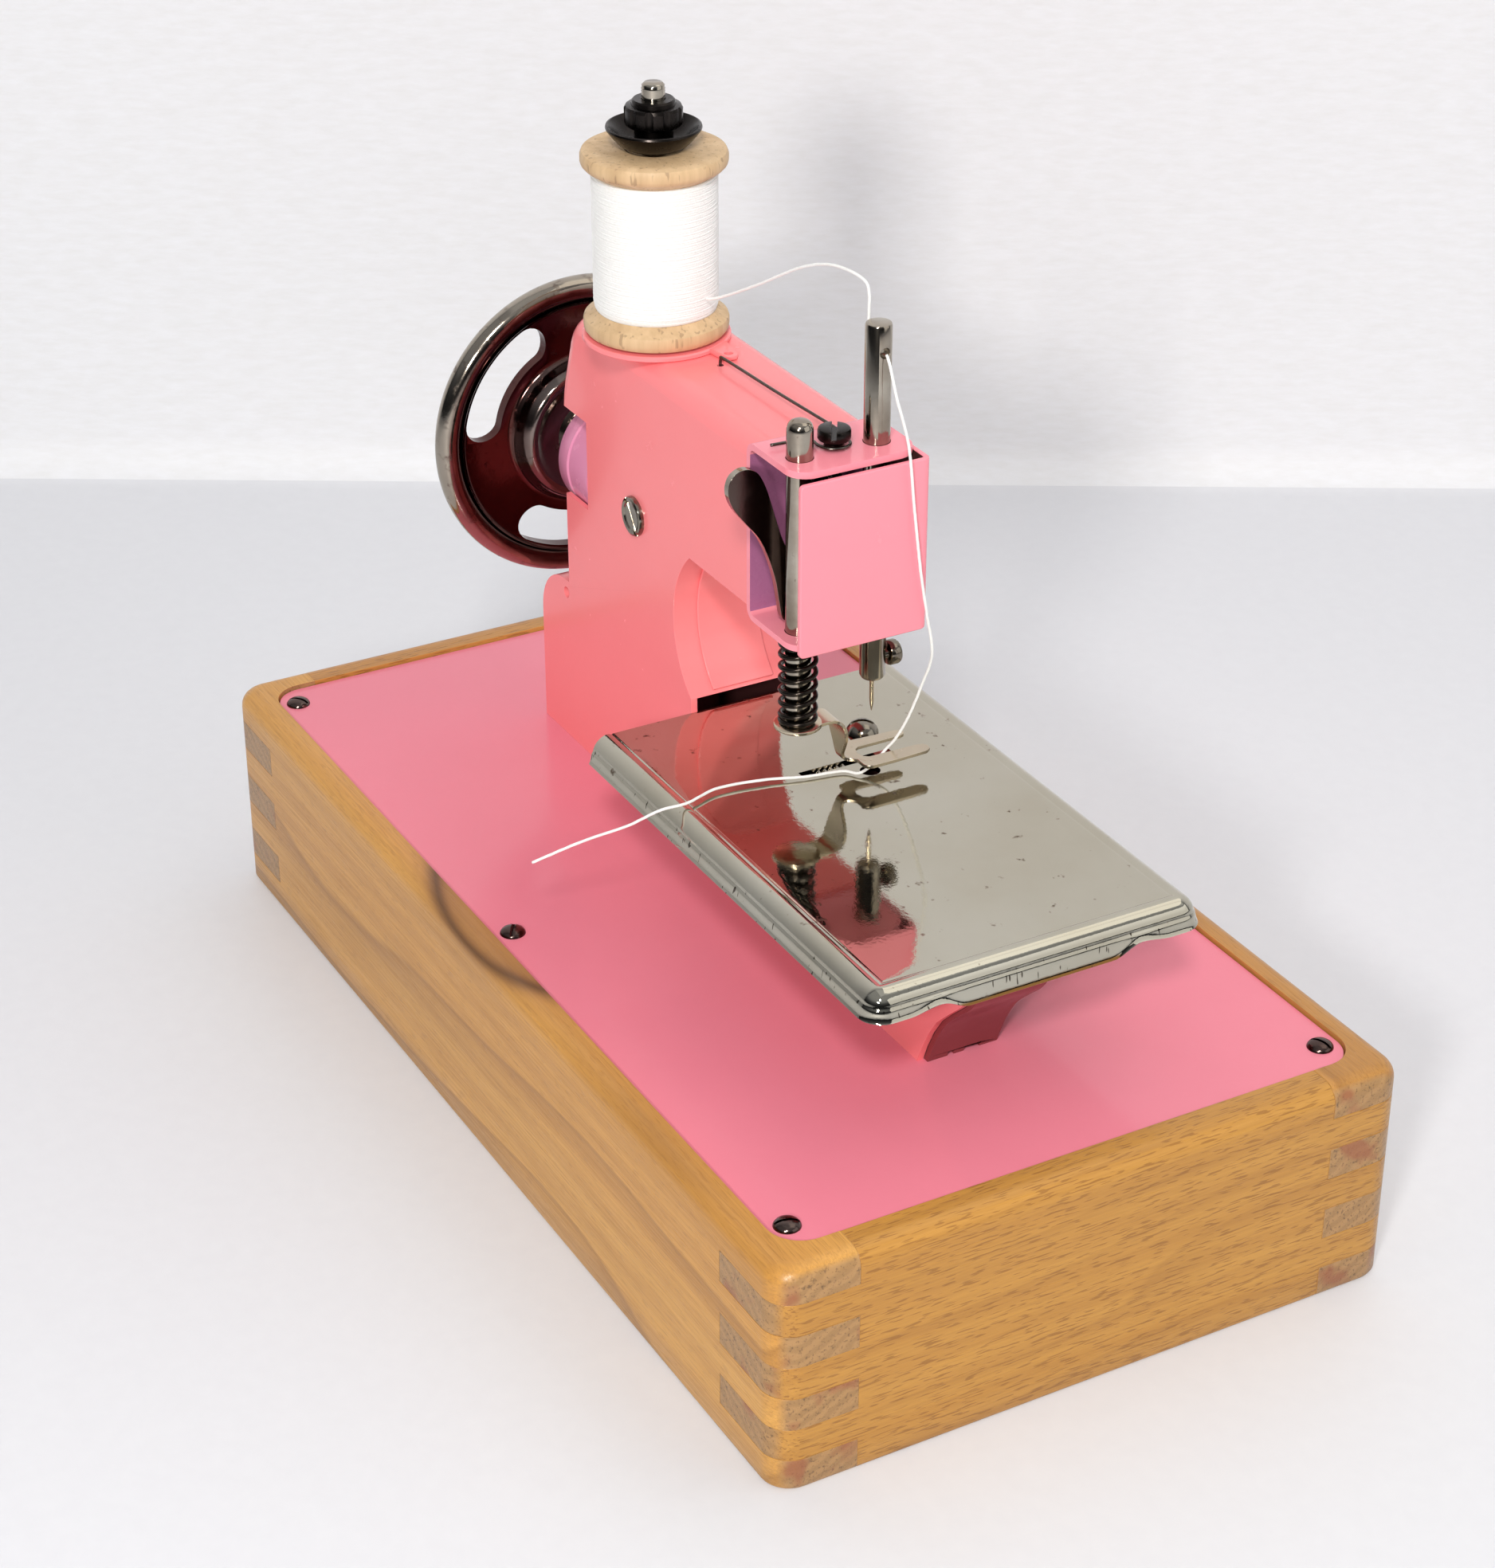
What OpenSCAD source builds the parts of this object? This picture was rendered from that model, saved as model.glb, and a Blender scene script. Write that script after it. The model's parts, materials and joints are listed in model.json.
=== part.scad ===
/* [Base box] */
// length of the wooden box along X, mm
base_l = 221; // [200:1:240]
// width of the wooden box along Y, mm
base_w = 120; // [110:1:130]
// height of the wooden box, mm
base_h = 42.6; // [38:0.2:46]
// thickness of the long boards, mm
board_long_t = 14.8; // [13:0.1:16]
// thickness of the short boards, mm
board_short_t = 18.3; // [16.5:0.1:19]

/* [Stitching parts] */
// radius of the needle bar and the presser bar, mm
bar_r = 2.25; // [2.1:0.05:2.3]
// running clearance on bars, shafts and pins, mm
run_c = 0.05; // [0.02:0.01:0.1]
// radius of the needle, mm
needle_r = 0.5; // [0.4:0.05:0.6]
// wire radius of the presser spring, mm
spring_wire_r = 0.45; // [0.3:0.05:0.5]

/* [Wheel and spool] */
// outer radius of the hand wheel, mm
wheel_r = 29.8; // [28.6:0.1:31]
// flange radius of the thread spool, mm
spool_r = 12.9; // [12.4:0.1:13]
// radius of the thread wound on the spool, mm
winding_r = 11.1; // [9.5:0.1:11.3]

/* [Hidden] */
plate_top = base_h - 0.8;
dz = plate_top - 41.8;
fh = base_h / 7;
hl = base_l / 2;
hw = base_w / 2;
ax_y = -1;
ax_z = 99.4;
sp_x = 36.1;
sp_y = 2.4;
sp_z = 133.3;
nb_x = -25.5;
nb_y = -6.2;
pb_x = -25.4;
pb_y = 8.3;
tab_z = 71.6;
thr_r = 0.25;

function arcp(cx, cy, r, a0, a1, n) = [for (i = [0:n]) [cx + r * cos(a0 + (a1 - a0) * i / n), cy + r * sin(a0 + (a1 - a0) * i / n)]];

module ex_y(y0, y1) { translate([0, y1, 0]) rotate([90, 0, 0]) linear_extrude(y1 - y0) children(); }
module ex_x(x0, x1) { translate([x0, 0, 0]) rotate([90, 0, 90]) linear_extrude(x1 - x0) children(); }
module cyl_x(x0, x1, y, z, r) { translate([x0, y, z]) rotate([0, 90, 0]) cylinder(h = x1 - x0, r = r, $fn = 64); }
module cyl_y(y0, y1, x, z, r) { translate([x, y1, z]) rotate([90, 0, 0]) cylinder(h = y1 - y0, r = r, $fn = 64); }
module cyl_z(z0, z1, x, y, r) { translate([x, y, z0]) cylinder(h = z1 - z0, r = r, $fn = 64); }
module bx(x0, x1, y0, y1, z0, z1) { translate([x0, y0, z0]) cube([x1 - x0, y1 - y0, z1 - z0]); }
module rrect(x0, x1, y0, y1, r) {
    polygon(concat(arcp(x1 - r, y1 - r, r, 0, 90, 6), arcp(x0 + r, y1 - r, r, 90, 180, 6),
                   arcp(x0 + r, y0 + r, r, 180, 270, 6), arcp(x1 - r, y0 + r, r, 270, 360, 6)));
}

// smooth curve through hand-set points
function cr(a, b, c, d, t) = 0.5 * ((2 * b) + (c - a) * t + (2 * a - 5 * b + 4 * c - d) * t * t + (3 * b - a - 3 * c + d) * t * t * t);
function smooth(p, s) = let (n = len(p)) concat([for (i = [0:n - 2]) for (k = [0:s - 1])
    cr(p[max(0, i - 1)], p[i], p[i + 1], p[min(n - 1, i + 2)], k / s)], [p[n - 1]]);
function unit(v) = v / norm(v);
function nrm(t) = unit(cross(t, abs(t[2]) > 0.9 ? [1, 0, 0] : [0, 0, 1]));
function step_n(n0, t) = unit(n0 - t * (n0 * t));
function tang(p) = let (n = len(p)) [for (i = [0:n - 1]) unit(p[min(n - 1, i + 1)] - p[max(0, i - 1)])];
function frames(t, i, acc) = i >= len(t) ? acc : frames(t, i + 1, concat(acc, [step_n(acc[i - 1], t[i])]));
module tube(p, r, m) {
    n = len(p);
    t = tang(p);
    f = frames(t, 1, [nrm(t[0])]);
    pts = [for (i = [0:n - 1]) for (k = [0:m - 1])
        p[i] + r * (cos(360 * k / m) * f[i] + sin(360 * k / m) * cross(t[i], f[i]))];
    side = [for (i = [0:n - 2]) for (k = [0:m - 1])
        [i * m + k, i * m + (k + 1) % m, (i + 1) * m + (k + 1) % m, (i + 1) * m + k]];
    polyhedron(points = pts, faces = concat([[for (k = [0:m - 1]) k]], [[for (k = [m - 1:-1:0]) (n - 1) * m + k]],
        [for (q = side) [q[3], q[2], q[1]]], [for (q = side) [q[3], q[1], q[0]]]), convexity = 10);
}

// ---- wooden box -------------------------------------------------
module screw_holes() {
    for (x = [-98.1, 0, 98.1]) for (y = [-51.2, 51.2]) cyl_z(plate_top - 8, base_h + 1, x, y, 1.2);
}
module box_round() { linear_extrude(base_h) rrect(-hl, hl, -hw, hw, 5); }
module recess() { translate([0, 0, plate_top - 1]) linear_extrude(3) rrect(-hl + 6.4, hl - 6.4, -hw + 5.1, hw - 5.1, 6); }
module long_board(s) {
    difference() {
        intersection() {
            box_round();
            union() {
                bx(-hl + board_short_t, hl - board_short_t, min(s * hw, s * (hw - board_long_t)), max(s * hw, s * (hw - board_long_t)), 0, base_h);
                for (i = [0, 2, 4, 6]) bx(-hl, hl, min(s * hw, s * (hw - board_long_t)), max(s * hw, s * (hw - board_long_t)), i * fh, (i + 1) * fh);
            }
        }
        recess();
        screw_holes();
    }
}
module short_board(s) {
    difference() {
        intersection() {
            box_round();
            union() {
                bx(min(s * hl, s * (hl - board_short_t)), max(s * hl, s * (hl - board_short_t)), -hw + board_long_t, hw - board_long_t, 0, base_h);
                for (i = [1, 3, 5]) bx(min(s * hl, s * (hl - board_short_t)), max(s * hl, s * (hl - board_short_t)), -hw, hw, i * fh, (i + 1) * fh);
            }
        }
        recess();
        screw_holes();
    }
}
module board_back() { color([0.80, 0.62, 0.38]) long_board(1); }
module board_front() { color([0.80, 0.62, 0.38]) long_board(-1); }
module board_left() { color([0.78, 0.59, 0.34]) short_board(-1); }
module board_right() { color([0.78, 0.59, 0.34]) short_board(1); }
module base_plate() {
    color([0.90, 0.55, 0.60]) difference() {
        translate([0, 0, plate_top - 1]) linear_extrude(1) rrect(-hl + 6.6, hl - 6.6, -hw + 5.3, hw - 5.3, 5.8);
        screw_holes();
    }
}
module plate_screws() {
    color([0.28, 0.27, 0.27]) for (x = [-98.1, 0, 98.1]) for (y = [-51.2, 51.2]) difference() {
        union() {
            translate([x, y, plate_top]) rotate_extrude($fn = 48) polygon(concat([[0, 0], [2.3, 0]], arcp(0, -1.6, 2.8, 35, 90, 6)));
            cyl_z(plate_top - 8, plate_top + 0.1, x, y, 1.2);
        }
        translate([x - 0.3, y - 3, plate_top + 0.6]) cube([0.6, 6, 2]);
    }
}

// ---- pressed body -----------------------------------------------
module outer_side() {
    polygon(concat([[70.9, plate_top]], arcp(60.9, 65.4, 10, 0, 90, 8), [[59, 75.4], [59, 94], [50, 94], [50, 111.5], [59, 111.5]],
        arcp(48.6, 122, 10, 0, 90, 8), [[-14.9, 132], [-14.9, 100.9]], arcp(-1.8, 87, 18.3, 49, -50, 14),
        [[9.95, 70.4], [-84, 70.4], [-84, 63], [-78, 56], [-72.5, 49], [-69, plate_top]]));
}
module inner_side() {
    polygon(concat([[69.7, 40]], arcp(60.9, 65.4, 8.8, 0, 90, 8), [[57.8, 74.2], [57.8, 92.8], [48.8, 92.8], [48.8, 112.7], [57.8, 112.7]],
        arcp(48.6, 122, 8.8, 8, 90, 8), [[-20, 130.8], [-20, 102.1], [10.8, 102.1]], arcp(-1.8, 87, 19.5, 47, -46, 14),
        [[-95, 72.97], [-95, 40]]));
}
module arm_round(e) {
    polygon(concat([[10 - e, 30], [10 - e, 120]], arcp(4, 126, 6 - e, 0, 90, 6), arcp(-6, 126, 6 - e, 90, 180, 6), [[-12 + e, 30]]));
}
module body_shell() {
    color([0.96, 0.62, 0.62]) difference() {
        intersection() { ex_y(-12, 10) outer_side(); ex_x(-90, 80) arm_round(0); }
        intersection() { ex_y(-10.8, 8.8) inner_side(); ex_x(-96, 80) arm_round(1.2); }
        bx(-96, -58, -13, -10.7, 38, 64.2);
        cyl_x(50, 80, ax_y, ax_z, 11.4);
        cyl_x(45, 52, ax_y, ax_z, 3 + run_c);
        cyl_y(8, 12, 60.2, 72.8, 1.1);
        cyl_y(-14, 12, 31, 100.6, 2);
        cyl_z(128, 134, sp_x, sp_y, 2.1);
        cyl_z(128, 134, 18.4, -0.8, 0.6);
    }
}
module throat_strip() {
    color([0.93, 0.50, 0.55]) ex_y(-7, 5.4) polygon(concat(arcp(-1.8, 87, 18.25, 44, -48, 14), arcp(-1.8, 87, 17.6, -48, 44, 14)));
}
module bearing_cup() {
    color([0.90, 0.52, 0.60]) difference() {
        union() { cyl_x(50, 62.6, ax_y, ax_z, 11.2); cyl_x(62.6, 65, ax_y, ax_z, 6); }
        cyl_x(49, 66, ax_y, ax_z, 3 + run_c);
    }
}
module pivot_stud() {
    color([0.62, 0.60, 0.56]) difference() {
        union() { cyl_y(-12, 10.05, 31, 100.6, 2); cyl_y(10, 11, 31, 100.6, 3.7); }
        translate([31, 10.5, 100.6]) rotate([0, 35, 0]) translate([-0.4, 0, -5]) cube([0.8, 3, 10]);
    }
}
module cross_brace() {
    color([0.88, 0.50, 0.55]) difference() {
        union() {
            ex_x(-85.2, -84) polygon([[10, 70.4], [-12, 70.4], [-12, 65.2], [-10.6, 64.2], [-8, 63.9], [6, 63.7], [8.6, 63.5], [10, 63]]);
            ex_y(-5, 8.7) polygon([[-85.2, 66], [-85.2, 62.8], [-82.8, 59], [-79.2, 55.4], [-75.8, 52], [-73.4, 48.4], [-71.6, 45], [-70.4, 41.8], [-69, 41.8], [-70.4, 45.4], [-72.2, 49], [-74.6, 52.6], [-78, 56], [-81.6, 59.4], [-84, 63], [-84, 66]]);
        }
        bx(-75, -66, 3.6, 4.8, 41, 42.7);
        bx(-75, -66, -1.4, 1.6, 41, 42.9);
    }
}
module shaft_brackets() {
    color([0.88, 0.50, 0.55]) for (x = [-50, 38]) difference() {
        bx(x, x + 1.4, -10.8, 8.8, plate_top, 62);
        cyl_x(x - 1, x + 3, ax_y, 54, 1.8 + run_c);
    }
}

// ---- table ------------------------------------------------------
module table_plate() {
    color([0.72, 0.70, 0.66]) difference() {
        union() {
            translate([0, 0, tab_z - 1.2]) linear_extrude(1.2) difference() { rrect(-89.6, 14, -32.4, 31.6, 4); translate([8, -40]) square([20, 80]); }
            translate([0, 0, 65.5]) linear_extrude(6.1) difference() {
                rrect(-89.6, 14, -32.4, 31.6, 4);
                rrect(-88.4, 12, -31.2, 30.4, 3);
                translate([8, -40]) square([20, 80]);
            }
        }
        bx(-80, 20, -40, 40, 60, 66.5);
        ex_x(-92, -79.9) polygon([[40, 60], [40, 66.5], [24, 66.5], [19, 67.3], [15, 65.4], [-15.6, 65.4], [-19.6, 67.3], [-25, 66.5], [-40, 66.5], [-40, 60]]);
        bx(-22.1, -20.3, -13, 5.2, 68, 73);
        cyl_z(68, 73, nb_x, nb_y, 1.8);
        cyl_z(68, 73, -12.6, -12.2, 1.5);
    }
}
module table_screw() {
    color([0.70, 0.68, 0.64]) difference() {
        union() {
            translate([-12.6, -12.2, tab_z]) rotate_extrude($fn = 48) polygon(concat([[0, 0], [2.9, 0]], arcp(0, -0.88, 3.03, 17, 90, 7)));
            cyl_z(70.45, tab_z + 0.1, -12.6, -12.2, 1.5);
        }
        translate([-12.6, -12.2, tab_z + 1.3]) rotate([0, 0, 60]) translate([-0.4, -4, 0]) cube([0.8, 8, 3]);
    }
}

// ---- head -------------------------------------------------------
module head_bracket() {
    color([0.95, 0.58, 0.62]) difference() {
        union() {
            translate([0, 0, 132.3]) linear_extrude(1.2) difference() { rrect(-31.5, -4, -11.2, 12.4, 4); translate([-14.9, -20]) square([20, 40]); }
            translate([0, 0, 101]) linear_extrude(1.1) difference() { rrect(-31.8, -4, -11.2, 12.4, 4); translate([-14.9, -20]) square([20, 40]); }
            bx(-16, -14.9, -11.2, 12.4, 101, 133.5);
        }
        for (z = [100, 131.5]) { cyl_z(z, z + 3, nb_x, nb_y, bar_r + run_c); cyl_z(z, z + 3, pb_x, pb_y, bar_r + run_c); }
        cyl_z(131, 134.5, -24.3, 1.2, 1.4);
        bx(-17, -14, -3.2, 0.4, 102.5, 129);
    }
}
module face_cover() {
    color([1.0, 0.62, 0.68]) union() {
        bx(-33.1, -32.1, -12.4, 12.4, 100.9, 132.1);
        bx(-33.1, -14.9, -12.4, -11.3, 100.9, 132.1);
    }
}
module guide_screw() {
    color([0.12, 0.11, 0.11]) difference() {
        union() { cyl_z(128.5, 133.6, -24.3, 1.2, 1.4); cyl_z(133.5, 134.9, -24.3, 1.2, 1.8); cyl_z(134.9, 137, -24.3, 1.2, 2.8); }
        translate([-24.3, 1.2, 135.9]) rotate([0, 0, 40]) translate([-0.4, -4, 0]) cube([0.8, 8, 3]);
    }
}
wire_pts = [[18.4, -0.8, 131.5], [18.2, -0.8, 133.2], [16.5, -0.9, 133.6], [0, -1.4, 133.8], [-16, -1.9, 134.2], [-20, -2, 134.2], [-23, -1.7, 134.2],
    [-25.8, -1, 134.2], [-26.9, 1, 134.2], [-26.1, 3.2, 134.2], [-24, 4, 134.2], [-21.8, 4, 134.2], [-20.7, 6, 134.2], [-20.2, 10.8, 134.2]];
module guide_wire() { color([0.16, 0.15, 0.15]) tube(smooth(wire_pts, 3), 0.35, 8); }

// ---- needle bar -------------------------------------------------
module needle_bar() {
    color([0.55, 0.52, 0.48]) difference() {
        cyl_z(89.8, 154.3, nb_x, nb_y, bar_r);
        translate([nb_x - 4, nb_y, 149.6]) rotate([0, 90, 0]) cylinder(h = 8, r = 0.9, $fn = 32);
        cyl_z(89, 95, nb_x, nb_y, needle_r);
        cyl_y(-10, -6.2, nb_x, 93.6, 0.9);
    }
}
module needle() {
    color([0.75, 0.70, 0.58]) translate([nb_x, nb_y, 0]) rotate_extrude($fn = 32) polygon([[0, 83.2], [0.12, 83.3], [needle_r, 85.4], [needle_r, 94.8], [0, 94.8]]);
}
module bar_collar() {
    color([0.45, 0.43, 0.40]) union() {
        difference() { cyl_z(117, 122, nb_x, nb_y, 3.9); cyl_z(116, 123, nb_x, nb_y, bar_r); }
        cyl_y(-2.6, 0.1, nb_x, 119.5, 1.2);
    }
}
module clamp_screw() {
    color([0.30, 0.29, 0.28]) difference() {
        union() { cyl_y(-10.4, -6.7, nb_x, 93.6, 0.9); cyl_y(-11.3, -8.9, nb_x, 93.6, 2.2); }
        translate([nb_x - 0.3, -12, 90]) cube([0.6, 1.3, 8]);
    }
}
module needle_lever() {
    color([0.40, 0.38, 0.36]) difference() {
        union() {
            cyl_y(-4.4, 1.6, 31, 100.6, 5);
            ex_y(-2.2, -0.6) union() {
                polygon([[31, 96.5], [34, 103.8], [13, 113.5], [-18, 122.2], [-25, 123.4], [-27.7, 122.9], [-28.9, 120.4], [-29, 117.5], [-25, 115.6], [-21, 114.8], [-17, 114.4], [12, 107.6]]);
                polygon([[33, 92], [41, 91], [41, 93.2], [36.6, 93.8], [36.6, 103.4], [41, 103.4], [41, 106], [33, 106]]);
            }
        }
        cyl_y(-6, 3, 31, 100.6, 2 + run_c);
        ex_y(-3, 0) translate([-25.5, 119.5]) rotate(-18.5) translate([-2.4, -1.7]) square([7, 3.4]);
    }
}

// ---- presser ----------------------------------------------------
module presser_bar() {
    color([0.62, 0.58, 0.52]) difference() {
        union() {
            cyl_z(84.9, 139, pb_x, pb_y, bar_r);
            translate([pb_x, pb_y, 139]) rotate_extrude($fn = 48) polygon(concat([[0, 0]], arcp(bar_r - 1.2, 0, 1.2, 0, 90, 4), [[0, 1.2]]));
        }
        cyl_x(-29, -21, pb_y, 110.9, 0.95);
    }
}
module lifter_pin() { color([0.35, 0.34, 0.33]) cyl_x(-27, -20.9, pb_y, 110.9, 0.95); }
spring_pts = [for (i = [0:96]) let (a = i * 30, z = 85.3 + 15.2 * (i < 12 ? i / 12 * 0.055 : (i > 84 ? 0.945 + (i - 84) / 12 * 0.055 : 0.055 + 0.89 * (i - 12) / 72)))
    [pb_x + 3 * cos(a), pb_y + 3 * sin(a), z]];
module presser_spring() { color([0.10, 0.09, 0.09]) tube(spring_pts, spring_wire_r, 8); }
module presser_foot() {
    color([0.66, 0.62, 0.54]) union() {
        cyl_z(84, 84.9, pb_x, pb_y, 4.2);
        ex_x(-27.6, -23.2) polygon([[6, 84.9], [2.1, 84.9], [0.4, 83.6], [-0.3, 80.6], [-0.5, 77.2], [-1.1, 75.9], [-3, 75.9], [-3, 75.1],
            [-0.7, 75.1], [0.4, 76.6], [0.5, 80.4], [1.3, 82.9], [2.5, 84], [6, 84]]);
        translate([0, 0, 75.1]) linear_extrude(0.8) polygon([[-30.2, -0.8], [-21.6, -0.8], [-21, -4], [-21.6, -13.6], [-23, -14.4], [-23.9, -13.4], [-23.9, -3.6], [-27.8, -3.6],
            [-28, -13.6], [-29, -15.6], [-30.8, -14.6], [-31, -3]]);
    }
}
module lifter_lever() {
    color([0.25, 0.24, 0.23]) difference() {
        ex_x(-22.9, -21.5) union() {
            polygon([[9.2, 103.2], [10.2, 103.8], [10.8, 107], [11.4, 111], [12.8, 115.5], [14.4, 120], [17, 123.4], [19.4, 126.6], [20.2, 129.4], [19, 131.6], [17, 132.2],
                [14.8, 131.2], [13, 128], [11.6, 123.5], [10, 118], [7.6, 113.6], [6.2, 110.6], [6.8, 106.6], [7.6, 103.8]]);
            translate([8.5, 104.1]) circle(r = 1.3, $fn = 32);
        }
        cyl_x(-24, -20, pb_y, 110.9, 0.95 + run_c);
    }
}

// ---- spool ------------------------------------------------------
module spool_seat() {
    color([0.93, 0.52, 0.58]) difference() {
        union() { cyl_z(132, 133, sp_x, sp_y, 13.2); bx(19, 26, -5, -2.2, 132, 133); }
        cyl_z(131, 134, sp_x, sp_y, 2.1);
        cyl_z(131, 134, 20.6, -3.6, 0.7);
    }
}
module spool_pin() { color([0.55, 0.50, 0.44]) cyl_z(128.5, 178, sp_x, sp_y, 2.1); }
module thread_spool() {
    color([0.82, 0.66, 0.45]) translate([sp_x, sp_y, sp_z]) rotate_extrude($fn = 64) polygon(concat([[2.5, 0], [spool_r - 0.8, 0]], [[spool_r, 0.8], [spool_r, 2.6], [winding_r, 4.3], [7.6, 4.3],
        [7.6, 29.1], [winding_r, 29.1], [spool_r, 30.4], [spool_r, 32.3], [spool_r - 0.9, 33.3], [2.5, 33.3]]));
}
module thread_winding() {
    color([0.96, 0.96, 0.95]) translate([sp_x, sp_y, sp_z]) rotate_extrude($fn = 64) polygon([[7.6, 4.3], [winding_r - 0.2, 4.3], [winding_r, 5.2], [winding_r, 28.2], [winding_r - 0.2, 29.1], [7.6, 29.1]]);
}
module tension_cup() {
    color([0.20, 0.18, 0.16]) translate([sp_x, sp_y, sp_z + 33.3]) rotate_extrude($fn = 64) polygon([[2.5, 0], [4.6, 0], [6.6, 1.2], [8.4, 3.6], [8.2, 4], [7.7, 3.8], [6.1, 1.9], [4.4, 0.7], [2.5, 0.7]]);
}
module tension_nut() {
    color([0.14, 0.12, 0.11]) difference() {
        union() {
            cyl_z(sp_z + 34.4, sp_z + 38, sp_x, sp_y, 3.4);
            translate([sp_x, sp_y, sp_z + 37.3]) cylinder(h = 3.6, r = 5.1, $fn = 8);
            cyl_z(sp_z + 40.9, sp_z + 41.9, sp_x, sp_y, 3.8);
        }
        cyl_z(160, 180, sp_x, sp_y, 2.1 + run_c);
    }
}

// ---- wheel ------------------------------------------------------
module hand_wheel() {
    color([0.34, 0.28, 0.26]) translate([75.6, ax_y, ax_z]) rotate([0, 90, 0]) difference() {
        rotate_extrude($fn = 96) polygon(concat([[3, -7.6], [5.8, -7.6], [6.4, -7], [6.6, -5], [9.6, -5], [10.6, -5.5], [11.8, -5.4], [12.9, -4.4], [13.8, -2.6], [15, -1.2], [24.8, -1.2]],
            arcp(27.4, 0, 2.4, 210, 330, 8), [[wheel_r, -0.9], [wheel_r, 0.9]], arcp(27.4, 0, 2.4, 30, 150, 8), [[24.8, 1.2], [14.6, 1.2], [10.4, 3.6], [6.4, 4.6], [3, 4.6]]));
        for (a = [126, 246, 6]) rotate([0, 0, a]) {
            rotate([0, 0, -23]) rotate_extrude(angle = 46, $fn = 96) translate([17.2, -6]) square([7.4, 12]);
            for (b = [-23, 23]) rotate([0, 0, b]) translate([20.9, 0, -6]) cylinder(h = 12, r = 3.7, $fn = 32);
        }
    }
}
module wheel_screw() {
    color([0.36, 0.34, 0.32]) difference() {
        union() { cyl_x(80.2, 83.4, ax_y, ax_z, 4.6); cyl_x(77, 80.3, ax_y, ax_z, 1.4); }
        bx(82.2, 85, ax_y - 0.5, ax_y + 0.5, ax_z - 6, ax_z + 6);
    }
}
module wheel_shaft() {
    color([0.50, 0.48, 0.46]) difference() { cyl_x(48.6, 80.2, ax_y, ax_z, 3); cyl_x(76.9, 81, ax_y, ax_z, 1.4); }
}
module crank_disc() {
    color([0.44, 0.42, 0.40]) union() { cyl_x(44.8, 48.6, ax_y, ax_z, 5.6); cyl_x(37.8, 44.9, ax_y, ax_z + 1.6, 1.2); }
}

// ---- feed -------------------------------------------------------
module feed_shaft() { color([0.50, 0.48, 0.46]) cyl_x(-54, 44, ax_y, 54, 1.8); }
module feed_dog() {
    color([0.55, 0.53, 0.50]) difference() {
        union() {
            cyl_x(-21.8, -20.6, ax_y, 54, 4);
            ex_x(-21.8, -20.6) polygon([[-3.4, 56.6], [-3, 68], [-4, 69.4], [-4, 70.8], [-3.4, 71.2], [-2.8, 70.6], [-2.2, 71.2], [-1.6, 70.6], [-1, 71.2], [-0.4, 70.6], [0.2, 71.2], [0.8, 70.6], [1.4, 71.2], [2, 70.6], [2, 69.4], [1, 68], [1.4, 56.6]]);
        }
        cyl_x(-23, -19, ax_y, 54, 1.8);
    }
}
module looper() {
    color([0.58, 0.56, 0.52]) difference() {
        union() {
            cyl_x(-28.4, -27, ax_y, 54, 4);
            ex_x(-28.4, -27) polygon([[-3.6, 56.4], [-5, 60], [-7.2, 64.4], [-8.2, 66], [-6, 67.4], [-3.6, 66.6], [-4.6, 65.4], [-5.4, 64], [-2, 60], [1.4, 56.4]]);
        }
        cyl_x(-30, -26, ax_y, 54, 1.8);
    }
}

// ---- thread -----------------------------------------------------
upper_pts = [[25.3, -2, 141.6], [20.9, -2.6, 143.4], [9, -3.2, 149.6], [-3.2, -3.8, 156.4], [-11, -4.4, 159.6], [-17, -5, 160.6], [-21.8, -5.6, 160.2], [-22.6, -6, 158.2],
    [-22.3, -6.2, 155], [-22.3, -6.2, 151.6], [-22.7, -6.2, 149.6]];
lower_pts = [[-28.1, -6.2, 149.5], [-29.4, -6.1, 148], [-31.5, -6.2, 143.2], [-33.9, -7.2, 135.6], [-34, -8.6, 123.6], [-34.1, -10.1, 111.9], [-33.9, -11.6, 104],
    [-33, -13.4, 95.6], [-30.6, -13, 88.6], [-28.8, -11.6, 82], [-27.4, -10, 77.6], [-26.5, -8.6, 75.4], [-26.7, -6, 73.4], [-26.4, -3.4, 72.1], [-24.2, -1.2, 72],
    [-22.9, 5.2, 72], [-20.8, 12, 72.2], [-19.6, 20.6, 72.3], [-21.6, 27.6, 72.3], [-21, 32.6, 71.9], [-17.6, 37.2, 68.4], [-13, 43.6, 64.8], [-8.8, 51, 60.6]];
module thread_upper() { color([0.97, 0.97, 0.96]) tube(smooth(upper_pts, 2), thr_r, 8); }
module thread_lower() { color([0.97, 0.97, 0.96]) tube(smooth(lower_pts, 2), thr_r, 8); }

board_back();
board_front();
board_left();
board_right();
base_plate();
plate_screws();
body_shell();
throat_strip();
bearing_cup();
pivot_stud();
cross_brace();
shaft_brackets();
table_plate();
table_screw();
head_bracket();
face_cover();
guide_screw();
guide_wire();
needle_bar();
needle();
bar_collar();
clamp_screw();
needle_lever();
presser_bar();
lifter_pin();
presser_spring();
presser_foot();
lifter_lever();
spool_seat();
spool_pin();
thread_spool();
thread_winding();
tension_cup();
tension_nut();
hand_wheel();
wheel_screw();
wheel_shaft();
crank_disc();
feed_shaft();
feed_dog();
looper();
thread_upper();
thread_lower();
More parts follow.
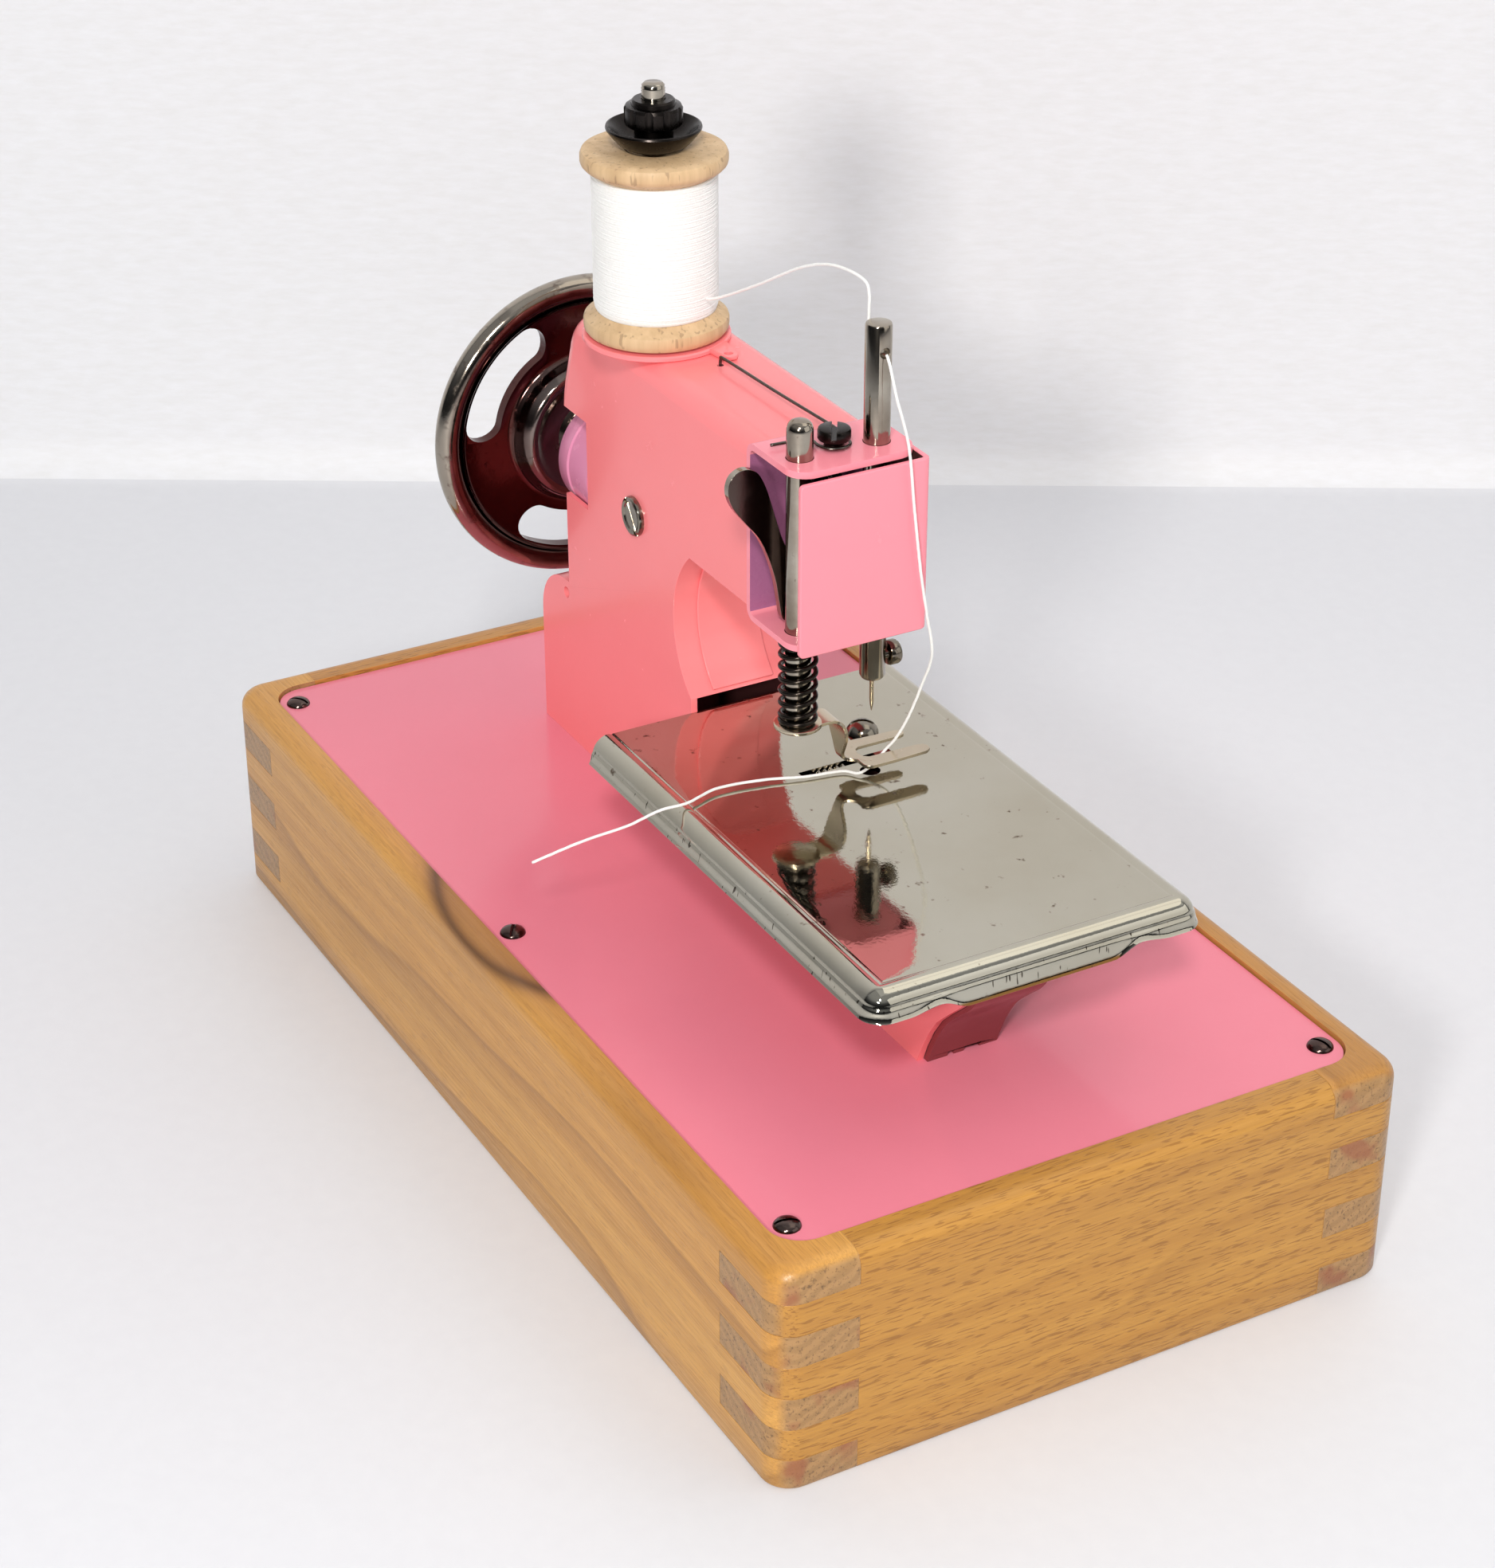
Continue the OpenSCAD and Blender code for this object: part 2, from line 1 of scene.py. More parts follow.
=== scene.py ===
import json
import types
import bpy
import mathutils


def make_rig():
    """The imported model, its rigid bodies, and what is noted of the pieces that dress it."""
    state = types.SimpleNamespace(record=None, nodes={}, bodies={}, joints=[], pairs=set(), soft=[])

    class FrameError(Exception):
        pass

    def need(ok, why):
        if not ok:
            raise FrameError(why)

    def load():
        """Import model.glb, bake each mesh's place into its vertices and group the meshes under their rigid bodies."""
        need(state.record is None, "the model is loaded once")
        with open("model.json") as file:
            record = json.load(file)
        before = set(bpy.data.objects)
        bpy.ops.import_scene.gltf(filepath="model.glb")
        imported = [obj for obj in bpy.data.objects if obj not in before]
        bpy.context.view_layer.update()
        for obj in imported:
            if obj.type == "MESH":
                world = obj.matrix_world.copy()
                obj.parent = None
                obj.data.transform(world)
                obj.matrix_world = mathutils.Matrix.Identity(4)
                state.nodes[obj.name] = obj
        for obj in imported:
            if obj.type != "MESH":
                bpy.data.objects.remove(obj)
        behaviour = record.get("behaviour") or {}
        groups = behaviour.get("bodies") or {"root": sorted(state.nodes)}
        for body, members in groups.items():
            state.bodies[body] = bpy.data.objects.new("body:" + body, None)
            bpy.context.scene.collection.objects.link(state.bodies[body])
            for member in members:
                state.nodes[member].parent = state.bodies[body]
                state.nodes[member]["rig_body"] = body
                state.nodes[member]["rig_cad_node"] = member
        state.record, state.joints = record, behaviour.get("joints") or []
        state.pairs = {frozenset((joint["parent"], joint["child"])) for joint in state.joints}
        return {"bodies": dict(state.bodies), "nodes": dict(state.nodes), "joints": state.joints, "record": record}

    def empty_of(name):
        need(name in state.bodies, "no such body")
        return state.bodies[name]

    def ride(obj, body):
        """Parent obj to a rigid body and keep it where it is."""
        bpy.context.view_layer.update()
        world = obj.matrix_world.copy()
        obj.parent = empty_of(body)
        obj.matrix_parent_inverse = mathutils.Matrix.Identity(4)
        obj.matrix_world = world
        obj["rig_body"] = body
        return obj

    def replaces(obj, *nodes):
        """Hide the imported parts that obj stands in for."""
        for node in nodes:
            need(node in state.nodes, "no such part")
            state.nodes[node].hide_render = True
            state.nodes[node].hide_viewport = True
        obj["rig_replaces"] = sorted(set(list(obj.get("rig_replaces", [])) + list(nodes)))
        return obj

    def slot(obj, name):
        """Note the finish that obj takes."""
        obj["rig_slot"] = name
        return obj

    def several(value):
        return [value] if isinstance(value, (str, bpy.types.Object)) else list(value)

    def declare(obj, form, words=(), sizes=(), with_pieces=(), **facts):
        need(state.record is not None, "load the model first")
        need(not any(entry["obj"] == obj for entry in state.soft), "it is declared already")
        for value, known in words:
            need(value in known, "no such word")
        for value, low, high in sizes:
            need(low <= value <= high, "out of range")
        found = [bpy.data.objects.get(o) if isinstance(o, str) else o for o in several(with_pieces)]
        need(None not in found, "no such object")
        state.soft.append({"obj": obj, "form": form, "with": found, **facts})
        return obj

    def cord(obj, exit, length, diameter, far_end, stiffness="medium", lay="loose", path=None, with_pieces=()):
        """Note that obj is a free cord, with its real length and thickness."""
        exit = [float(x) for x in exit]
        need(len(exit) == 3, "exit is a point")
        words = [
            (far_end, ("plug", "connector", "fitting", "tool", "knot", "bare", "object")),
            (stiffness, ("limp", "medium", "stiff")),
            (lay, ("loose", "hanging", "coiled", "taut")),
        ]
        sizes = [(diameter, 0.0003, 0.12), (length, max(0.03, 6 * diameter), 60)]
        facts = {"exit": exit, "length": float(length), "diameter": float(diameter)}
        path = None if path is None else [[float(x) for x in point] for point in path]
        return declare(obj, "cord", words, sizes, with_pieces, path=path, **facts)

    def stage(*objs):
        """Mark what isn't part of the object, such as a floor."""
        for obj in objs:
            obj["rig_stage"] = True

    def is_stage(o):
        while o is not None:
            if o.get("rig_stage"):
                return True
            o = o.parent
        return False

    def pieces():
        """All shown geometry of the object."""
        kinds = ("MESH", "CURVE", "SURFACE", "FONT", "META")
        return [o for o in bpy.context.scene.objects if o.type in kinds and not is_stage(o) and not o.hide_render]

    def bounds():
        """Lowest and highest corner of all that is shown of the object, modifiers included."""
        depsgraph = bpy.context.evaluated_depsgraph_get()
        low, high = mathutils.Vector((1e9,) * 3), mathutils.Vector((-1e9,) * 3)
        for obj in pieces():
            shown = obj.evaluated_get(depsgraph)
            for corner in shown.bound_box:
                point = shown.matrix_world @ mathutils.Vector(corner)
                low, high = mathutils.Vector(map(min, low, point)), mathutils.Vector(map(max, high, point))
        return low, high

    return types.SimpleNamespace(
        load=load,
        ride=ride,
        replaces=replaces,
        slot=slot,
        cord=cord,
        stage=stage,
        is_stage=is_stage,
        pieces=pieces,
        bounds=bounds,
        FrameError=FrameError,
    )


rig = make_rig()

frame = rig.load()
import bpy, bmesh, math, json, random
from mathutils import Vector, Matrix

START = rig.bounds()
K = 0.001
random.seed(4)
SC = bpy.context.scene
cos, sin, pi = math.cos, math.sin, math.pi


# ------------------------------------------------------------------ mesh helpers
def obj(name, verts, faces, sharp=32):
    me = bpy.data.meshes.new(name)
    me.from_pydata([(v[0] * K, v[1] * K, v[2] * K) for v in verts], [], [tuple(f) for f in faces])
    bm = bmesh.new()
    bm.from_mesh(me)
    bmesh.ops.remove_doubles(bm, verts=bm.verts, dist=1e-7)
    bmesh.ops.recalc_face_normals(bm, faces=bm.faces)
    bm.to_mesh(me)
    bm.free()
    o = bpy.data.objects.new(name, me)
    SC.collection.objects.link(o)
    smooth(o, sharp)
    return o


def smooth(o, sharp=32):
    for p in o.data.polygons:
        p.use_smooth = True
    if sharp:
        o.data.set_sharp_from_angle(angle=math.radians(sharp))


def place(axis, a, b, h):
    if axis == "x":
        return (h, a, b)
    if axis == "y":
        return (a, h, b)
    return (a, b, h)


def prism(name, poly, axis, h0, h1, sharp=32):
    n = len(poly)
    v = [place(axis, p[0], p[1], h0) for p in poly] + [place(axis, p[0], p[1], h1) for p in poly]
    f = [list(range(n)), list(range(n, 2 * n))] + [[i, (i + 1) % n, n + (i + 1) % n, n + i] for i in range(n)]
    return obj(name, v, f, sharp)


def arc(cx, cy, r, a0, a1, n):
    return [(cx + r * cos(math.radians(a0 + (a1 - a0) * i / n)), cy + r * sin(math.radians(a0 + (a1 - a0) * i / n))) for i in range(n + 1)]


def rrect(x0, x1, y0, y1, r, n=8):
    return arc(x1 - r, y1 - r, r, 0, 90, n) + arc(x0 + r, y1 - r, r, 90, 180, n) + arc(x0 + r, y0 + r, r, 180, 270, n) + arc(x1 - r, y0 + r, r, 270, 360, n)


def boxo(name, x0, x1, y0, y1, z0, z1):
    return prism(name, [(x0, y0), (x1, y0), (x1, y1), (x0, y1)], "z", z0, z1)


def lathe(name, prof, centre, axis="z", n=96, closed=False, sharp=32, ripple=None):
    v, f, rings = [], [], []
    for r, h in prof:
        if r < 1e-6:
            rings.append([len(v)])
            v.append(_ax(axis, centre, 0, 0, h))
        else:
            ring = []
            for i in range(n):
                a = 2 * pi * i / n
                rr = r + (ripple(a, h) if ripple else 0)
                ring.append(len(v))
                v.append(_ax(axis, centre, rr * cos(a), rr * sin(a), h))
            rings.append(ring)
    pairs = list(zip(rings, rings[1:])) + ([(rings[-1], rings[0])] if closed else [])
    for a, b in pairs:
        for i in range(n):
            j = (i + 1) % n
            if len(a) == 1 and len(b) == 1:
                continue
            if len(a) == 1:
                f.append([a[0], b[i], b[j]])
            elif len(b) == 1:
                f.append([a[i], b[0], a[j]])
            else:
                f.append([a[i], a[j], b[j], b[i]])
    if not closed:
        for ring in (rings[0], rings[-1]):
            if len(ring) > 1:
                f.append(list(ring))
    return obj(name, v, f, sharp)


def _ax(axis, c, a, b, h):
    if axis == "z":
        return (c[0] + a, c[1] + b, c[2] + h)
    if axis == "x":
        return (c[0] + h, c[1] + a, c[2] + b)
    return (c[0] + a, c[1] + h, c[2] + b)


def cyl(name, axis, a, b, h0, h1, r, n=48):
    c = {"x": (0, a, b), "y": (a, 0, b), "z": (a, b, 0)}[axis]
    return lathe(name, [(r, h0), (r, h1)], c, axis, n)


def catmull(p, s):
    out, n = [], len(p)
    for i in range(n - 1):
        a, b, c, d = [Vector(p[j]) for j in (max(0, i - 1), i, i + 1, min(n - 1, i + 2))]
        for k in range(s):
            t = k / s
            out.append(0.5 * ((2 * b) + (c - a) * t + (2 * a - 5 * b + 4 * c - d) * t * t + (3 * b - a - 3 * c + d) * t ** 3))
    out.append(Vector(p[-1]))
    return out


def sweep(name, pts, r, sides=12, lobes=0, depth=0.0, pitch=3.0, sharp=0, taper=0):
    pts = [Vector(p) for p in pts]
    n = len(pts)
    tan = [(pts[min(n - 1, i + 1)] - pts[max(0, i - 1)]).normalized() for i in range(n)]
    nr = tan[0].orthogonal().normalized()
    v, f, run = [], [], 0.0
    for i in range(n):
        nr = (nr - tan[i] * nr.dot(tan[i])).normalized()
        bi = tan[i].cross(nr)
        if i:
            run += (pts[i] - pts[i - 1]).length
        for k in range(sides):
            a = 2 * pi * k / sides
            rr = r * (1 + depth * cos(lobes * (a - 2 * pi * run / pitch))) if lobes else r
            if taper and min(i, n - 1 - i) < taper:
                rr *= 0.55 + 0.45 * min(i, n - 1 - i) / taper
            v.append(pts[i] + nr * (rr * cos(a)) + bi * (rr * sin(a)))
    for i in range(n - 1):
        for k in range(sides):
            j = (k + 1) % sides
            f.append([i * sides + k, i * sides + j, (i + 1) * sides + j, (i + 1) * sides + k])
    f.append(list(range(sides)))
    f.append([(n - 1) * sides + k for k in range(sides)])
    return obj(name, v, f, sharp)


def apply_all(o):
    dg = bpy.context.evaluated_depsgraph_get()
    me = bpy.data.meshes.new_from_object(o.evaluated_get(dg))
    o.modifiers.clear()
    old = o.data
    o.data = me
    bpy.data.meshes.remove(old)
    return o


def boolean(o, others, op="DIFFERENCE", sharp=32):
    for t in others if isinstance(others, (list, tuple)) else [others]:
        m = o.modifiers.new("b", "BOOLEAN")
        m.operation = op
        m.solver = "MANIFOLD" if "MANIFOLD" in [e.identifier for e in m.bl_rna.properties["solver"].enum_items] else "EXACT"
        m.object = t
        bpy.context.view_layer.update()
        apply_all(o)
        bpy.data.objects.remove(t)
    smooth(o, sharp)
    return o


def bevel(o, w, seg=3, angle=32, harden=True):
    m = o.modifiers.new("bevel", "BEVEL")
    m.width = w * K
    m.segments = seg
    m.limit_method = "ANGLE"
    m.angle_limit = math.radians(angle)
    m.harden_normals = harden
    m.use_clamp_overlap = True
    return o


def join(name, obs, sharp=32):
    bm = bmesh.new()
    for o in obs:
        me = o.data
        bm.from_mesh(me)
        bpy.data.objects.remove(o)
    me = bpy.data.meshes.new(name)
    bm.to_mesh(me)
    bm.free()
    o = bpy.data.objects.new(name, me)
    SC.collection.objects.link(o)
    smooth(o, sharp)
    return o


# ------------------------------------------------------------------ materials
def material(name):
    m = bpy.data.materials.new(name)
    m.use_nodes = True
    nt = m.node_tree
    return m, nt, nt.nodes["Principled BSDF"]


def node(nt, kind, links=(), **vals):
    n = nt.nodes.new(kind)
    for k, v in vals.items():
        if k in n.inputs:
            n.inputs[k].default_value = v
        else:
            setattr(n, k, v)
    for sock, src in links:
        nt.links.new(src, n.inputs[sock])
    return n


def coords(nt, scale=(1, 1, 1), rot=(0, 0, 0), loc=(0, 0, 0)):
    g = nt.nodes.new("ShaderNodeNewGeometry") if False else nt.nodes.new("ShaderNodeTexCoord")
    mp = nt.nodes.new("ShaderNodeMapping")
    mp.inputs["Scale"].default_value = scale
    mp.inputs["Rotation"].default_value = rot
    mp.inputs["Location"].default_value = loc
    nt.links.new(g.outputs["Object"], mp.inputs["Vector"])
    return mp.outputs["Vector"]


def noise(nt, vec, scale, detail=4, rough=0.55, dist=0.0):
    n = nt.nodes.new("ShaderNodeTexNoise")
    n.inputs["Scale"].default_value = scale
    n.inputs["Detail"].default_value = detail
    n.inputs["Roughness"].default_value = rough
    n.inputs["Distortion"].default_value = dist
    nt.links.new(vec, n.inputs["Vector"])
    return n.outputs["Fac"]


def ramp(nt, fac, stops, mode="LINEAR"):
    n = nt.nodes.new("ShaderNodeValToRGB")
    n.color_ramp.interpolation = mode
    e = n.color_ramp.elements
    while len(e) > 1:
        e.remove(e[-1])
    e[0].position, e[0].color = stops[0][0], (*stops[0][1], 1) if len(stops[0][1]) == 3 else stops[0][1]
    for p, c in stops[1:]:
        x = e.new(p)
        x.color = (*c, 1)
    nt.links.new(fac, n.inputs["Fac"])
    return n.outputs["Color"]


def g(v):
    return (v, v, v)


def rng(nt, fac, a, b, c, d):
    n = nt.nodes.new("ShaderNodeMapRange")
    n.inputs["From Min"].default_value, n.inputs["From Max"].default_value = a, b
    n.inputs["To Min"].default_value, n.inputs["To Max"].default_value = c, d
    nt.links.new(fac, n.inputs["Value"])
    return n.outputs["Result"]


def mix(nt, fac, a, b, blend="MIX"):
    n = nt.nodes.new("ShaderNodeMix")
    n.data_type = "RGBA"
    n.blend_type = blend
    for s, v in ((0, fac), (6, a), (7, b)):
        if hasattr(v, "is_output"):
            nt.links.new(v, n.inputs[s])
        elif s == 0:
            n.inputs[s].default_value = v
        else:
            n.inputs[s].default_value = (*v, 1)
    return n.outputs[2]


def mth(nt, op, a, b=0.0):
    n = nt.nodes.new("ShaderNodeMath")
    n.operation = op
    for i, v in enumerate((a, b)):
        if hasattr(v, "is_output"):
            nt.links.new(v, n.inputs[i])
        else:
            n.inputs[i].default_value = v
    return n.outputs[0]


def bump(nt, bsdf, h, strength, dist):
    b = nt.nodes.new("ShaderNodeBump")
    b.inputs["Strength"].default_value = strength
    b.inputs["Distance"].default_value = dist
    nt.links.new(h, b.inputs["Height"])
    nt.links.new(b.outputs["Normal"], bsdf.inputs["Normal"])


def enamel(name, base, deep, rough=0.22):
    m, nt, b = material(name)
    v = coords(nt)
    big = noise(nt, v, 28, 3)
    fine = noise(nt, v, 900, 3)
    mid = noise(nt, v, 260, 4)
    col = mix(nt, rng(nt, big, 0.3, 0.7, 0, 0.45), base, deep)
    col = mix(nt, rng(nt, fine, 0.35, 0.7, 0, 0.10), col, deep)
    nt.links.new(col, b.inputs["Base Color"])
    nt.links.new(rng(nt, mid, 0.3, 0.75, rough - 0.03, rough + 0.06), b.inputs["Roughness"])
    b.inputs["Specular IOR Level"].default_value = 0.26
    b.inputs["Coat Weight"].default_value = 0.13
    b.inputs["Coat Roughness"].default_value = 0.06
    bump(nt, b, mth(nt, "ADD", noise(nt, v, 70, 2), mth(nt, "MULTIPLY", fine, 0.05)), 0.006, 0.0004)
    return m


def metal(name, base, dark, rough=0.14, specks=0.4, tint=None, streak=(1, 1, 1), spot_scale=420, big=45):
    m, nt, b = material(name)
    v = coords(nt)
    vs = coords(nt, streak)
    large = noise(nt, v, big, 4)
    mid = noise(nt, vs, 300, 4)
    fine = noise(nt, vs, 1400, 3)
    col = mix(nt, rng(nt, large, 0.35, 0.7, 0, 1), base, tint or dark)
    spot = ramp(nt, noise(nt, v, spot_scale, 3, 0.7), [(0.0, g(0)), (0.66, g(0)), (0.74, g(1))])
    col = mix(nt, mth(nt, "MULTIPLY", spot, specks), col, dark)
    nt.links.new(col, b.inputs["Base Color"])
    b.inputs["Metallic"].default_value = 1.0
    r = mth(nt, "ADD", rng(nt, mid, 0.3, 0.75, rough * 0.75, rough * 1.45), mth(nt, "MULTIPLY", spot, 0.3 * specks))
    nt.links.new(r, b.inputs["Roughness"])
    bump(nt, b, mth(nt, "ADD", mth(nt, "MULTIPLY", mid, 0.6), mth(nt, "MULTIPLY", fine, 0.4)), 0.06, 0.0003)
    return m


def wood(name, axis, seed=0.0, fleck=1.0, light=(0.575, 0.292, 0.075), mid=(0.505, 0.232, 0.052), dark=(0.19, 0.070, 0.018), knot=False, endcol=(0.345, 0.195, 0.080)):
    """grain runs along the axis; faces square to it show end grain"""
    m, nt, b = material(name)
    ai = {"x": 0, "y": 1}[axis]
    sl = [1, 1, 1]
    sl[ai] = 0.075
    v = coords(nt, tuple(sl), loc=(seed, seed * 0.7, seed * 1.3))
    warp = noise(nt, v, 26, 3, 0.5)
    bands = node(nt, "ShaderNodeTexWave", wave_type="BANDS", bands_direction="Z", wave_profile="SIN")
    bands.inputs["Scale"].default_value = 46
    bands.inputs["Distortion"].default_value = 5.0
    bands.inputs["Detail"].default_value = 3
    bands.inputs["Detail Scale"].default_value = 0.9
    nt.links.new(v, bands.inputs["Vector"])
    base = mix(nt, rng(nt, warp, 0.3, 0.7, 0, 1), light, mid)
    base = mix(nt, mth(nt, "MULTIPLY", rng(nt, bands.outputs["Fac"], 0.1, 0.9, 0, 1), 0.20), base, (0.34, 0.140, 0.030))
    fibre = noise(nt, coords(nt, tuple(0.02 if i == ai else 1 for i in range(3))), 2300, 2, 0.6)
    base = mix(nt, rng(nt, fibre, 0.35, 0.7, 0, 0.34), base, (0.32, 0.145, 0.038))
    tilt = (0.07, 0, 0) if ai == 1 else (0, 0.04, 0)
    fl = noise(nt, coords(nt, tuple(0.085 if i == ai else 1 for i in range(3)), rot=tilt, loc=(seed, 0.3, 0.1)), 3300, 1, 0.4)
    flk = ramp(nt, fl, [(0.0, g(0)), (0.575, g(0)), (0.64, g(1))])
    base = mix(nt, mth(nt, "MULTIPLY", flk, 0.50 * fleck), base, dark)
    lsp = nt.nodes.new("ShaderNodeSeparateXYZ")
    nt.links.new(coords(nt), lsp.inputs[0])
    lv = mth(nt, "ADD", mth(nt, "MULTIPLY", mth(nt, "ADD", lsp.outputs[2], mth(nt, "MULTIPLY", lsp.outputs[1 - ai], 0.7)), 24.0), mth(nt, "MULTIPLY", noise(nt, coords(nt, tuple(0.22 if i == ai else 1 for i in range(3)), loc=(seed * 2, seed, 0.2)), 22, 2, 0.5), 1.5))
    lines = ramp(nt, mth(nt, "FRACT", mth(nt, "MULTIPLY", lv, 2.0 if ai == 0 else 5.0)), [(0.0, g(0)), (0.60, g(0.0)), (0.86, g(0.55)), (0.95, g(1.0)), (0.985, g(0.15)), (1.0, g(0))])
    base = mix(nt, mth(nt, "MULTIPLY", lines, 0.50 if ai == 0 else 0.22), base, (0.24, 0.100, 0.026))
    if knot:
        ksp = nt.nodes.new("ShaderNodeSeparateXYZ")
        nt.links.new(coords(nt), ksp.inputs[0])
        kx = mth(nt, "SUBTRACT", ksp.outputs[0], 0.001)
        ky = mth(nt, "ADD", mth(nt, "SUBTRACT", ksp.outputs[1], 0.0505), mth(nt, "MULTIPLY", mth(nt, "SUBTRACT", 0.0426, ksp.outputs[2]), 0.6))
        q = mth(nt, "SQRT", mth(nt, "ADD", mth(nt, "POWER", mth(nt, "MULTIPLY", mth(nt, "ABSOLUTE", kx), 1 / 0.026), 2.0), mth(nt, "POWER", mth(nt, "MULTIPLY", mth(nt, "ABSOLUTE", ky), 1 / 0.0098), 2.0)))
        q = mth(nt, "ADD", q, mth(nt, "MULTIPLY", mth(nt, "SUBTRACT", noise(nt, v, 60, 3), 0.5), 0.5))
        ringc = ramp(nt, mth(nt, "MULTIPLY", q, 0.5), [(0.0, (0.20, 0.085, 0.028)), (0.28, (0.34, 0.155, 0.045)), (0.42, (0.25, 0.105, 0.032)), (0.49, (0.085, 0.032, 0.012)), (0.56, (0.30, 0.14, 0.045)), (0.68, (0.45, 0.22, 0.06))])
        kf = ramp(nt, mth(nt, "MULTIPLY", q, 0.5), [(0.0, g(0.75)), (0.40, g(0.70)), (0.47, g(0.92)), (0.53, g(0.85)), (0.60, g(0.35)), (0.80, g(0))])
        base = mix(nt, kf, base, ringc)
    # end grain
    ge = nt.nodes.new("ShaderNodeTexCoord")
    sp = nt.nodes.new("ShaderNodeSeparateXYZ")
    nt.links.new(ge.outputs["Normal"], sp.inputs[0])
    na = mth(nt, "ABSOLUTE", sp.outputs[ai])
    ef = rng(nt, na, 0.62, 0.86, 0, 1)
    ev = coords(nt, (1, 1, 1), rot=(0.5, 0.42, 0.35), loc=(seed, 0, 0))
    ew = node(nt, "ShaderNodeTexWave", wave_type="BANDS", bands_direction="Z")
    ew.inputs["Scale"].default_value = 150
    ew.inputs["Distortion"].default_value = 6.0
    ew.inputs["Detail"].default_value = 3
    nt.links.new(ev, ew.inputs["Vector"])
    ecol = mix(nt, rng(nt, ew.outputs["Fac"], 0.25, 0.8, 0, 0.5), endcol, tuple(c * 1.35 for c in endcol))
    ecol = mix(nt, rng(nt, noise(nt, ev, 1700, 2), 0.55, 0.72, 0, 0.7), ecol, (0.10, 0.055, 0.03))
    ecol = mix(nt, rng(nt, noise(nt, ev, 130, 2), 0.55, 0.66, 0, 0.75), ecol, (0.30, 0.10, 0.045))
    col = mix(nt, ef, base, ecol)
    nt.links.new(col, b.inputs["Base Color"])
    nt.links.new(rng(nt, fibre, 0.3, 0.7, 0.27, 0.42), b.inputs["Roughness"])
    b.inputs["Coat Weight"].default_value = 0.10
    b.inputs["Coat Roughness"].default_value = 0.18
    b.inputs["Specular IOR Level"].default_value = 0.28
    h = mth(nt, "ADD", mth(nt, "MULTIPLY", fibre, 0.5), mth(nt, "MULTIPLY", flk, -0.6))
    bump(nt, b, h, 0.22, 0.0003)
    return m


def plainwood(name, base, dark, grain=(1, 1, 0.15)):
    m, nt, b = material(name)
    v = coords(nt, grain)
    a = noise(nt, v, 320, 4, 0.6)
    c = noise(nt, coords(nt), 60, 3)
    col = mix(nt, rng(nt, a, 0.35, 0.7, 0, 0.8), base, dark)
    col = mix(nt, rng(nt, c, 0.45, 0.7, 0, 0.5), col, tuple(x * 0.8 for x in base))
    dots = ramp(nt, noise(nt, v, 1200, 1), [(0.0, g(0)), (0.62, g(0)), (0.70, g(1))])
    col = mix(nt, mth(nt, "MULTIPLY", dots, 0.4), col, (0.16, 0.08, 0.04))
    nt.links.new(col, b.inputs["Base Color"])
    nt.links.new(rng(nt, a, 0.3, 0.7, 0.45, 0.62), b.inputs["Roughness"])
    bump(nt, b, a, 0.25, 0.0003)
    return m


def fibre_mat(name, base, dark):
    m, nt, b = material(name)
    a = noise(nt, coords(nt), 2600, 3, 0.6)
    c = noise(nt, coords(nt, (1, 1, 0.6)), 120, 3)
    col = mix(nt, rng(nt, a, 0.3, 0.75, 0, 0.5), base, dark)
    col = mix(nt, rng(nt, c, 0.5, 0.75, 0, 0.3), col, (0.80, 0.79, 0.74))
    nt.links.new(col, b.inputs["Base Color"])
    nt.links.new(rng(nt, a, 0.3, 0.7, 0.55, 0.75), b.inputs["Roughness"])
    b.inputs["Sheen Weight"].default_value = 0.4
    bump(nt, b, a, 0.3, 0.0002)
    return m


